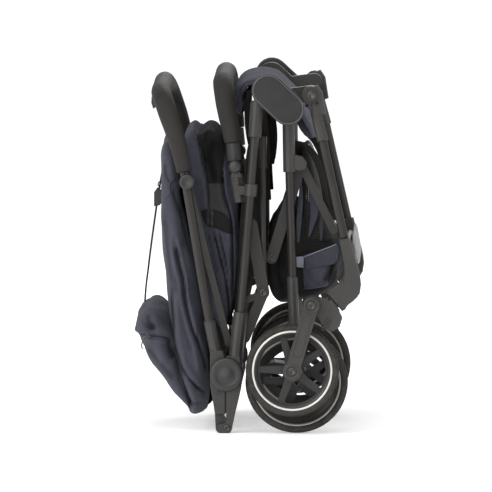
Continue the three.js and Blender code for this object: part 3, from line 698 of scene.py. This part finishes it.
# ------------------------------------------------------------------ cloth helpers
def loft(name, left, right, half, material, rows=70, columns=84, square=(0.55, 0.28)):
    """A closed cloth body between a left and a right edge curve, both from top to bottom in the side view. Each row
    is a rounded rectangle, signed powers of a turn's cosine and sine: edge to edge, and from one side of the stroller
    to the other. Rows near the top and bottom draw in by a parabola to 0.88."""
    a, b = smooth_line(left, rows), smooth_line(right, rows)
    t = np.linspace(0, 2 * np.pi, columns, endpoint=False)
    u = np.sign(np.cos(t)) * np.abs(np.cos(t)) ** square[0]
    v = np.sign(np.sin(t)) * np.abs(np.sin(t)) ** square[1]
    middle, reach = (a + b) / 2, (b - a) / 2
    k = np.linspace(0, 1, rows)
    end = np.clip(np.minimum(k, 1 - k) * 14, 0, 1)
    end = (1 - (1 - end) ** 2) * 0.12 + 0.88
    wide = half * end
    p = np.empty((rows, columns, 3))
    p[..., 0] = middle[:, :1] + reach[:, :1] * u * end[:, None]
    p[..., 2] = middle[:, 1:] + reach[:, 1:] * u * end[:, None]
    p[..., 1] = wide[:, None] * v
    return facing_out(build(name, p.reshape(-1, 3), ring_faces(rows, columns), material))


def verts(obj):
    co = np.empty(len(obj.data.vertices) * 3)
    obj.data.vertices.foreach_get("co", co)
    return co.reshape(-1, 3) / MM


def set_verts(obj, p):
    obj.data.vertices.foreach_set("co", (np.asarray(p) * MM).ravel())
    obj.data.update()


def puff(obj, voxel=5.0, pressure=4.0, cap=9.0):
    """Stuffing by cloth simulation: the body is remeshed in voxels, blown up a little without gravity for twenty
    frames, and no point may move further than the cap; the simulation is then baked into the mesh."""
    bpy.context.view_layer.objects.active = obj
    remesh = obj.modifiers.new("skin", "REMESH")
    remesh.mode, remesh.voxel_size, remesh.use_smooth_shade = "VOXEL", voxel * MM, True
    graph = bpy.context.evaluated_depsgraph_get()
    skin = bpy.data.meshes.new_from_object(obj.evaluated_get(graph))
    obj.modifiers.clear()
    obj.data = skin
    start = verts(obj)
    sim = obj.modifiers.new("stuffing", "CLOTH")
    s = sim.settings
    s.quality, s.mass, s.air_damping = 4, 0.25, 2.0
    s.tension_stiffness, s.compression_stiffness, s.shear_stiffness, s.bending_stiffness = 18, 18, 6, 0.4
    s.use_pressure, s.uniform_pressure_force = True, pressure
    s.effector_weights.gravity = 0.0
    sim.point_cache.frame_start, sim.point_cache.frame_end = 1, 20
    scene = bpy.context.scene
    for k in range(1, 21):
        scene.frame_set(k)
    graph = bpy.context.evaluated_depsgraph_get()
    done = obj.evaluated_get(graph)
    co = np.empty(len(done.data.vertices) * 3)
    done.data.vertices.foreach_get("co", co)
    scene.frame_set(1)
    obj.modifiers.clear()
    move = co.reshape(-1, 3) / MM - start
    size = np.linalg.norm(move, axis=1)
    move *= np.minimum(1.0, cap / np.maximum(size, 1e-6))[:, None]
    set_verts(obj, start + move)
    return obj


def distance_to(points, line):
    """Distance in the side view from each point to a polyline, and how far along it the nearest spot is (0 to 1)."""
    p, a, b = points[:, None, :], line[None, :-1], line[None, 1:]
    d = b - a
    t = np.clip(((p - a) * d).sum(-1) / (d**2).sum(-1), 0, 1)
    gap = np.linalg.norm(p - (a + t[..., None] * d), axis=-1)
    best = gap.argmin(1)
    rows = np.arange(len(points))
    return gap[rows, best], (best + t[rows, best]) / (len(line) - 1)


# painted shade: at this many millimetres sunk, a fold's painted darkening of the cloth colour is full
FOLD_FULL_SHADE = 5.0  # millimetres sunk at which a fold is fully dark


def crease(obj, lines, half, deep=45.0):
    """Folds on both side faces: near each line (x, z) the cloth sinks steeply, with a softer swelling beside it; the
    fold fades at its two ends and dies out away from the side faces. The mesh is halved once beforehand, and how far
    each point sank is kept in its "fold" attribute, from which the cloth finish paints shade into the folds."""
    finer(obj)
    graph = bpy.context.evaluated_depsgraph_get()
    obj.data = bpy.data.meshes.new_from_object(obj.evaluated_get(graph))
    obj.modifiers.clear()
    p = verts(obj)
    near = np.clip((np.abs(p[:, 1]) - (half - deep)) / (deep * 0.75), 0, 1)
    near = near * near * (3 - 2 * near)
    move = np.zeros(len(p))
    for line, width, depth in lines:
        gap, along = distance_to(p[:, [0, 2]], smooth_line(line, 24))
        fade = np.clip(np.minimum(along, 1 - along) * 7 + 0.15, 0, 1)
        beside = np.exp(-(((gap - 2.6 * width) / (1.4 * width)) ** 2))
        move += fade * depth * (np.exp(-((gap / width) ** 1.3)) - 0.4 * beside)
    p[:, 1] -= np.sign(p[:, 1]) * near * move
    set_verts(obj, p)
    # the "fold" attribute holds painted shade: the cloth finish darkens the colour by it
    shade = obj.data.attributes.new("fold", "FLOAT", "POINT")
    shade.data.foreach_set("value", np.clip(near * move / FOLD_FULL_SHADE, 0.0, 1.0))
    return obj


def rumple(obj, size, height, seed, stretch=(1.0, 1.0, 1.0)):
    """Soft unevenness: a sum of seeded sine waves in random directions moves each point along its normal."""
    p = verts(obj)
    n = np.empty(len(obj.data.vertices) * 3)
    obj.data.vertices.foreach_get("normal", n)
    rng = np.random.default_rng(seed)
    total = np.zeros(len(p))
    for _ in range(14):
        way = rng.normal(size=3) * np.asarray(stretch)
        way /= np.linalg.norm(way)
        k = 2 * np.pi / (size * rng.uniform(0.6, 1.7))
        total += np.sin(p @ way * k + rng.uniform(0, 6.28)) / 14**0.5
    set_verts(obj, p + n.reshape(-1, 3) * (total * height)[:, None])
    return obj


def finer(obj, levels=1):
    sub = obj.modifiers.new("finer", "SUBSURF")
    sub.levels = sub.render_levels = levels
    return obj


def side_seam(name, obj, line, side, radius, lift=0.1, body=None, joint=None):
    """A thread laid on the side face: each point of a line (x, z) is dropped sideways onto the cloth's surface."""
    graph = bpy.context.evaluated_depsgraph_get()
    tree = BVHTree.FromObject(obj, graph)
    path = []
    for x, z in smooth_line(line, 70):
        hit = tree.ray_cast(Vector((x * MM, side * 0.4, z * MM)), Vector((0, -side, 0)))
        if hit[0] is not None:
            path.append((x, hit[0].y / MM + side * lift, z))
    seam = tube(name, path, radius, THREAD, 6, count=len(path) * 2)
    if joint is None:
        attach(seam, body)
    else:
        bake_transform(seam)


# ------------------------------------------------------------------ backrest
BACK_LEFT = [(-116, 438), (-124, 432), (-127, 420), (-126, 396), (-127.6, 358), (-127.2, 320), (-124.5, 275),
             (-120, 230), (-115, 185), (-110.5, 140), (-105, 98), (-95, 56), (-85, 18)]
BACK_RIGHT = [(-110, 439), (-107, 432), (-103.5, 415), (-102.5, 392), (-102, 350), (-94, 320), (-84, 285),
              (-76, 240), (-68, 190), (-63.5, 140), (-60, 98), (-57.5, 62), (-58, 29)]
backrest = loft("backrest_cloth", BACK_LEFT, BACK_RIGHT, 180, SLATE, rows=90)
puff(backrest, 5.0, 3.0, 1.5)
BACK_FOLDS = [
    ([(-108, 292), (-102, 257), (-95, 228), (-92, 200), (-87, 176), (-79, 148), (-70, 122), (-62, 90)], 2.6, 8.0),
    ([(-112, 214), (-110, 165), (-105.5, 124), (-96.5, 98), (-81, 73), (-60, 55)], 2.8, 9.0),
    ([(-106, 112), (-99, 88), (-93, 72), (-89, 58), (-83, 36)], 3.0, 11.0),
    ([(-111, 374), (-110, 358), (-98, 320), (-86, 280), (-77, 240), (-70, 200)], 1.8, 4.0),
    ([(-123, 330), (-121, 285), (-115, 240), (-110, 205)], 6.0, 3.4),
    ([(-104, 240), (-99, 190), (-90, 150), (-76, 112)], 5.0, 3.6),
    ([(-122, 404), (-119, 385), (-114, 374)], 3.0, 3.4),
    ([(-101, 345), (-98, 310), (-90, 272)], 4.0, 4.0),
    ([(-74, 150), (-68, 118), (-63, 90)], 2.4, 5.0),
    ([(-95, 52), (-84, 44), (-70, 42)], 4.0, 4.0),
]
crease(backrest, BACK_FOLDS, 180)
rumple(backrest, 70, 1.6, 3)
stuffed(backrest, "handle", "backrest")

# ------------------------------------------------------------------ rear flap
FLAP_LEFT = [(-150, 182), (-156, 177), (-161, 170), (-166, 159), (-172, 149), (-160, 143.5), (-156, 135),
             (-151, 124), (-136, 97), (-118, 72), (-101, 49), (-88, 31)]
FLAP_RIGHT = [(-143, 183.5), (-136, 181), (-128, 175.5), (-119, 166), (-112.5, 156), (-109, 144), (-107, 132),
              (-105.5, 120), (-102, 100), (-94, 71), (-87, 49), (-82, 27)]
flap = loft("rear_flap_cloth", FLAP_LEFT, FLAP_RIGHT, 170, SLATE, rows=64, square=(0.6, 0.3))
puff(flap, 5.0, 3.0, 3.0)
FLAP_FOLDS = [
    ([(-160, 144), (-145, 143.5), (-130, 142), (-114, 138)], 2.2, 4.5),
    ([(-149, 176), (-146, 164), (-138, 154)], 5.0, 4.0),
    ([(-120, 138), (-117, 124), (-110, 108)], 5.0, 8.0),
    ([(-160, 165), (-150, 158), (-136, 152)], 4.0, 2.5),
    ([(-150, 128), (-138, 112), (-124, 96), (-108, 76)], 6.0, 3.0),
]
crease(flap, FLAP_FOLDS, 170)
rumple(flap, 60, 2.0, 5)
stuffed(flap, "handle", "rear_flap")

# ------------------------------------------------------------------ seat front pad, an arch over the hub
ARCH_OUT = [(-7, 468), (-13, 480), (-17.5, 496), (-18.5, 508), (-15, 516), (-6, 525.5), (8, 532), (22, 533.5),
            (34, 529.5), (46, 522), (59, 510.5), (72, 495.5), (84, 477.5), (95, 457.5), (106, 437)]
ARCH_IN = [(-3, 470), (-4, 480), (-5, 490), (-6, 502), (-3, 513), (2, 517), (12, 519.5), (24, 519.5), (36, 517),
           (45, 512), (54, 504), (64, 486), (74, 467), (84, 448), (95, 432)]
arch = loft("seat_front_cloth", ARCH_OUT, ARCH_IN, 145, SLATE, rows=90, square=(0.6, 0.22))
puff(arch, 4.5, 3.0, 3.0)
crease(arch, [([(-10, 480), (-12, 500), (-4, 520), (16, 526), (40, 520), (60, 502)], 1.6, 2.0),
              ([(72, 482), (84, 462), (98, 440)], 1.8, 3.0)], 145)
rumple(arch, 50, 0.9, 8)
stuffed(arch, "hub", "seat_front_pad")

# ------------------------------------------------------------------ seat back, behind the push tubes
SEAT_LEFT = [(3, 434), (-1, 400), (-6, 350), (-12, 275), (-17, 185), (-20, 127)]
SEAT_RIGHT = [(23, 434), (27, 400), (27.5, 350), (21, 275), (-1, 185), (-9.5, 127)]
seat = loft("seat_back_cloth", SEAT_LEFT, SEAT_RIGHT, 157, LINING, rows=60, square=(0.7, 0.2))
puff(seat, 4.5, 3.0, 1.5)
rumple(seat, 60, 0.7, 12)
finer(seat)
stuffed(seat, "push_frame", "seat_back")

# ------------------------------------------------------------------ cloth that joins the seat's parts over their hinges
def joining(name, line, half, thick, material, waves):
    """A wide cloth between two parts: a side-view line carried from side to side, rippled along its length by a low
    sine of the cross distance, closed into a thin shell and left in place, its transform baked into the mesh."""
    path = smooth_line(line, 40)
    way = np.gradient(path, axis=0)
    way /= np.linalg.norm(way, axis=1)[:, None]
    normal = np.stack([-way[:, 1], way[:, 0]], 1)
    y = np.linspace(-half, half, 60)
    lift = 0.9 * np.sin(np.linspace(0, waves * np.pi, 60))[None, :] * np.sin(np.linspace(0, np.pi, 40))[:, None]
    grid = np.empty((40, 60, 3))
    grid[..., 0] = path[:, :1] + normal[:, :1] * lift
    grid[..., 1] = y
    grid[..., 2] = path[:, 1:] + normal[:, 1:] * lift
    piece = thickened(build(name, grid.reshape(-1, 3), grid_faces(40, 60), material), thick)
    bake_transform(piece)


joining("seat_sling", [(4, 511), (1.5, 500), (0, 482), (0.5, 462), (3, 442), (8, 418), (11, 396)], 139, 7.0,
        LINING, 9)
joining("fold_sling", [(-16, 133), (-22, 118), (-33, 98), (-40, 76), (-45, 56), (-54, 42), (-66, 34)], 138, 2.0,
        LINING, 7)

# ------------------------------------------------------------------ footrest pad
REST_LEFT = [(159, 298), (160, 270), (162, 260), (166.5, 245.5)]
REST_RIGHT = [(162.6, 297.5), (166.2, 274), (168.2, 264), (170, 247.5)]
footrest = loft("footrest_cloth", REST_LEFT, REST_RIGHT, 128, PALE_TRIM, rows=30, square=(0.7, 0.2))
puff(footrest, 4.0, 3.0, 1.0)
finer(footrest)
stuffed(footrest, "front_frame", "footrest_pad")

# ------------------------------------------------------------------ hood: lined and pleated
HOOD_LEFT = [(-84, 457), (-92, 447), (-96, 430), (-96, 395), (-94, 352), (-86, 322), (-77, 290), (-69, 255),
             (-61, 215), (-53, 182), (-44, 152)]
HOOD_RIGHT = [(-48, 452), (-42, 438), (-36, 420), (-22, 392), (-13, 352), (-12, 320), (-12, 288), (-12.5, 250),
              (-17, 212), (-24, 176), (-33, 146)]
hood = loft("hood_cloth", HOOD_LEFT, HOOD_RIGHT, 157, SLATE, rows=90, square=(0.5, 0.2))
puff(hood, 4.5, 3.0, 2.5)
HOOD_FOLDS = [
    ([(-74, 462), (-70, 435), (-62, 392), (-57, 350), (-57, 330)], 2.0, 6.0),
    ([(-57, 462), (-64, 430), (-60, 400)], 6.0, 5.0),
    ([(-50, 440), (-52, 400), (-46, 372)], 7.0, 6.0),
    ([(-66, 300), (-59, 270), (-50, 238), (-42, 205), (-40, 195)], 1.6, 8.0),
    ([(-50, 302), (-40, 262), (-31, 226), (-27, 190), (-28, 150)], 1.6, 8.0),
    ([(-41, 298), (-33, 262), (-25, 222)], 1.5, 6.0),
    ([(-84, 345), (-76, 318), (-68, 285), (-59, 240), (-49, 196)], 1.8, 6.0),
    ([(-36, 400), (-34, 360), (-24, 320), (-21, 270), (-21, 200)], 1.8, 6.0),
    ([(-58, 300), (-50, 262), (-42, 232)], 1.6, 3.5),
]
crease(hood, HOOD_FOLDS, 157)


def hollow_top():
    """The hood's top edge sinks between its two layers: lowered by a bell curve of x, fading out below the top."""
    p = verts(hood)
    p[:, 2] -= 9.0 * np.exp(-(((p[:, 0] + 71.0) / 8.5) ** 2)) * np.clip((p[:, 2] - 425.0) / 25.0, 0.0, 1.0)
    set_verts(hood, p)


hollow_top()
rumple(hood, 55, 1.0, 21)
hood.data.materials.append(LINING)
hood.data.materials.append(LINING_GREY)


def lining_patch():
    """Faces between the first pleat line and the right edge, above the elastic band, take the black lining; towards
    the band they take its greyer copy, painted light on the lining's lower part."""
    centre = np.empty(len(hood.data.polygons) * 3)
    hood.data.polygons.foreach_get("center", centre)
    c = centre.reshape(-1, 3) / MM
    left = np.interp(c[:, 2], [325, 350, 395, 435, 462], [-57, -57, -62, -70, -75])
    right = np.interp(c[:, 2], [325, 350, 395, 440, 478], [-30, -33, -35, -30, -20])
    index = np.zeros(len(c), int)
    inside = (c[:, 0] > left) & (c[:, 0] < right) & (c[:, 2] > 322)
    index[inside] = 2
    index[inside & (c[:, 2] > 372)] = 1
    index[(c[:, 2] > 428) & (c[:, 0] > -73)] = 1
    hood.data.polygons.foreach_set("material_index", index)


lining_patch()
HOOD_BLEND = ("handle", "hood_bow", (-0.080, 0, 0.20), (-0.030, 0, 0.22))
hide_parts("hood")


def elastic_band(side, label):
    """A flat black band with two grey stripes, laid over the pleats between two lines of the hood's side face."""
    graph = bpy.context.evaluated_depsgraph_get()
    tree = BVHTree.FromObject(hood, graph)
    top = smooth_line([(-68, 331), (-57, 334), (-43, 331), (-31, 325), (-22, 302)], 26)
    low = smooth_line([(-64, 316), (-59, 309), (-44, 305), (-33, 299), (-23, 296)], 26)
    rows = []
    for k in np.linspace(0, 1, 7):
        line = top * (1 - k) + low * k
        row = []
        for x, z in line:
            hit = tree.ray_cast(Vector((x * MM, side * 0.4, z * MM)), Vector((0, -side, 0)))
            y = abs(hit[0].y) / MM if hit[0] is not None else 155.0
            row.append((x, side * (max(y, 150.0) + 0.8), z))
        rows.append(row)
    p = np.array(rows)
    p[..., 1] = side * np.maximum.accumulate(np.abs(p[..., 1]), axis=0)
    band = build(f"hood_band_{label}", p.reshape(-1, 3), grid_faces(*p.shape[:2]), ELASTIC)
    band.data.materials.append(LINING_GREY)
    middle = (p[:-1, :-1, 0] + p[1:, 1:, 0]).ravel() / 2
    striped = ((middle > -59) & (middle < -56)) | ((middle > -53.5) & (middle < -50.5))
    band.data.polygons.foreach_set("material_index", striped.astype(int))
    return thickened(band, 1.2)


bands = [elastic_band(side, label) for label, side in SIDES]
for label, side in SIDES:
    side_seam(f"hood_edge_{label}", hood, [(-74, 452), (-69.5, 432), (-62, 392), (-57, 352)], side, 0.8,
              0.2, joint=HOOD_BLEND)
for band in bands:
    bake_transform(band)
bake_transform(hood)

# ------------------------------------------------------------------ seams on backrest and flap
for label, side in SIDES:
    side_seam(f"back_seam_{label}", backrest, [(-105, 379), (-112, 376), (-114.5, 368), (-110, 356), (-97.5, 320),
                                               (-85, 276), (-76, 232), (-69, 192)], side, 0.8, body="handle")
    side_seam(f"back_stitch_{label}", backrest, [(-110, 361), (-116, 355), (-122, 349)], side, 0.5, body="handle")
    side_seam(f"flap_zip_{label}", flap, [(-158, 144), (-145, 143.2), (-130, 142), (-116, 139)], side, 0.7,
              body="handle")
    side_seam(f"flap_stitch_{label}", flap, [(-158, 139.5), (-145, 139), (-130, 138), (-116, 135)], side,
              0.45, body="handle")


def zip_pull():
    """Hooked wire pull at the flap's rear corner: a bent wire with a small ring."""
    wire = tube("zip_pull", [(-150, -168.5, 144), (-154, -169.5, 141), (-156.5, -170, 134), (-157.5, -170, 127),
                             (-155, -169.5, 124)], 0.9, ZIP_METAL, 8, count=30)
    ring = tube("zip_eye", [(-148.5 + 2.4 * np.cos(t), -169.2, 143.5 + 2.4 * np.sin(t))
                            for t in np.linspace(0, 2 * np.pi, 20, endpoint=False)], 0.7, ZIP_METAL, 8, True)
    for piece in (wire, ring):
        fit(piece, "handle")


zip_pull()

# ------------------------------------------------------------------ basket: net front, black bag, pocket, tapes
NET_LEFT = [(85, 422), (82, 395), (80, 360), (79, 330), (79, 300), (82, 276)]
NET_RIGHT = [(92, 421), (102, 397), (111, 358), (119, 328), (130, 296), (138, 281)]
net = loft("basket_net", NET_LEFT, NET_RIGHT, 142.5, NET, rows=50, square=(0.55, 0.25))
rumple(net, 60, 1.4, 31)
finer(net)
BAG_LEFT = [(52, 334), (42, 318), (37, 296), (35.5, 262), (35.5, 228), (37, 204), (44, 188)]
BAG_RIGHT = [(70, 338), (98, 322), (128, 294), (140, 268), (141, 240), (137, 219), (122, 206)]
bag = loft("basket_bag", BAG_LEFT, BAG_RIGHT, 142, LINING, rows=46, square=(0.5, 0.22))
puff(bag, 5.0, 2.0, 2.5)
crease(bag, [([(58, 326), (52, 290), (50, 240), (56, 200)], 5.0, 5.0),
             ([(72, 330), (68, 290), (70, 240)], 4.0, 4.0),
             ([(134, 280), (128, 250), (112, 222)], 5.0, 4.0)], 142)
rumple(bag, 45, 1.6, 36)
for piece in (net, bag):
    fit(piece, "hub")
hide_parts("basket")
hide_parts("basket")


def strip(name, points, widths, layer, side, material, body="hub", thick=1.4, bow=0.8):
    """A tape: a strip whose centre follows a path in one layer and whose width follows a list, bowed outwards a
    little along its length and rolled down at its edges, then thickened evenly."""
    line = smooth_line(points, 44)
    way = np.gradient(line, axis=0)
    way /= np.linalg.norm(way, axis=1)[:, None]
    square = np.stack([-way[:, 1], way[:, 0]], 1)
    width = np.interp(np.linspace(0, 1, 44), np.linspace(0, 1, len(widths)), widths)[:, None]
    k = np.linspace(-0.5, 0.5, 7)
    p = np.empty((44, 7, 3))
    p[..., 0] = line[:, :1] + square[:, :1] * k * width
    p[..., 2] = line[:, 1:] + square[:, 1:] * k * width
    p[..., 1] = side * (layer + bow * np.sin(np.linspace(0, 3.0, 44))[:, None] - 3.0 * np.abs(k) ** 2)
    return sheet_piece(name, p, material, body, thick)


def sheet_piece(name, grid, material, body, thick):
    """A grid of points as a sheet, thickened evenly about its middle and softened by one subdivision."""
    piece = thickened(build(name, grid.reshape(-1, 3), grid_faces(*grid.shape[:2]), material), thick)
    finer(piece)
    fit(piece, body)
    return piece


for label, side in SIDES:
    strip(f"basket_tape_a_{label}", [(92.4, 387), (98.4, 369), (102.2, 347), (101.4, 324), (97, 305), (94, 292)],
          [2.5, 9, 14, 13, 8, 2], 145.4, side, SLATE)
    strip(f"basket_tape_b_{label}", [(82, 377), (81, 347), (79, 317), (77.4, 280)], [2, 8, 8, 2], 145.2, side,
          SLATE)
    strip(f"basket_tape_c_{label}", [(84, 432), (99, 418), (110, 395), (116, 369), (121, 339), (128, 314)],
          [8, 11, 10, 9, 9, 8], 145.0, side, WEBBING)
    # this tape takes the darker copy of the slate cloth: painted shade
    strip(f"basket_tape_d_{label}", [(113.4, 330), (112.6, 308), (112, 286)], [2, 7, 2], 146.0, side, SLATE_PAINTED_SHADE)
    strip(f"harness_{label}", [(30, 488), (33, 462), (36, 436), (35, 410), (33, 396)], [15, 15], 60, side, WEBBING,
          "push_frame")
    strip(f"harness_b_{label}", [(24, 486), (27, 455), (30, 420), (30, 380), (32, 345)], [10, 10], 120, side,
          WEBBING, "push_frame")

POCKET_LEFT = [(72, 262), (72.5, 250), (76, 234), (82, 208.5)]
POCKET_RIGHT = [(136, 279), (141, 262), (136, 240), (126, 216)]
pocket = loft("basket_pocket", POCKET_LEFT, POCKET_RIGHT, 147.5, SLATE, rows=34, square=(0.5, 0.16))
puff(pocket, 4.5, 3.0, 1.5)
crease(pocket, [([(128, 262), (126, 242), (116, 222)], 6.0, 5.0), ([(92, 240), (98, 226), (112, 218)], 4.0, 1.2)], 147)
rumple(pocket, 40, 0.9, 44)
# second slot: the black lining, painted shade on the pocket's far right part
pocket.data.materials.append(LINING)


def pocket_painted_shade():
    """The pocket's far right part takes the black lining cloth: painted shade on that side."""
    centre = np.empty(len(pocket.data.polygons) * 3)
    pocket.data.polygons.foreach_get("center", centre)
    c = centre.reshape(-1, 3) / MM
    pocket.data.polygons.foreach_set("material_index", (c[:, 0] > 122 + 0.1 * (c[:, 2] - 215)).astype(int))


pocket_painted_shade()
fit(pocket, "hub")


def pocket_flap(label, side):
    """The pocket's folded flap: a sheet between its top and bottom edges on the side face, with a lighter hem tab at
    its rear end and a piping line along the tab's foot."""
    top = smooth_line([(86, 261), (98, 266), (112, 271.5), (124, 276), (135, 280.5), (139, 272)], 26)
    low = smooth_line([(89.4, 240.8), (100, 243.5), (111, 246.6), (122, 249), (131, 250.6), (136, 256)], 26)
    v = np.linspace(0, 1, 9)[:, None, None]
    grid = np.empty((9, 26, 3))
    flat = top[None] * (1 - v) + low[None] * v
    grid[..., 0], grid[..., 2] = flat[..., 0], flat[..., 1]
    u = np.linspace(0, 1, 26)[None, :]
    grid[..., 1] = side * (147.6 + 1.6 * np.sin(np.pi * np.clip(u * 1.1, 0, 1)) * (0.3 + v[..., 0])
                           + 0.5 * np.sin(9 * u + 3 * v[..., 0]))
    sheet_piece(f"pocket_flap_{label}", grid, SLATE, "hub", 1.8)
    tab = np.empty((6, 8, 3))
    a, b = np.linspace(0, 1, 6)[:, None], np.linspace(0, 1, 8)[None, :]
    tab[..., 0] = 74.6 + 11 * b + 0.6 * a
    tab[..., 2] = 261.6 + 0.8 * b - 14.5 * a
    tab[..., 1] = side * (148.2 + 0.6 * np.sin(3 * b) + 0 * a)
    sheet_piece(f"pocket_tab_{label}", tab, SLATE_PALE, "hub", 1.4)
    for key, points, finish in (("hem", [(86, 261), (98, 266), (112, 271.5), (124, 276), (135, 280.5)], SLATE_PALE),
                                ("piping", [(75.5, 247), (80, 246.4), (86.5, 246.6)], PALE_TRIM),
                                ("foot", [(86, 213.5), (96, 213.5), (108, 216), (119, 219)], SLATE)):
        line = smooth_line(points, 24)
        path = np.stack([line[:, 0], np.full(24, side * 149.0), line[:, 1]], 1)
        fit(tube(f"pocket_{key}_{label}", path, 0.75, finish, 8, count=40), "hub")


for label, side in SIDES:
    pocket_flap(label, side)

# ------------------------------------------------------------------ floor
def floor():
    """One large flat sheet, plain and pale."""
    r = 30000.0
    obj = build("floor", [(-r, -r, 0), (r, -r, 0), (r, r, 0), (-r, r, 0)], [[0, 1, 2, 3]], None, False)
    f = Finish("pale floor")
    speck = f.noise(3.0, 2.0)
    obj.data.materials.clear()
    obj.data.materials.append(f.surface(None, base_color=f.mix(speck * 0.05, (0.93, 0.93, 0.93), (0.9, 0.9, 0.9)),
                                        roughness=0.9, emission_color=(1.0, 1.0, 1.0), emission_strength=0.38))


floor()
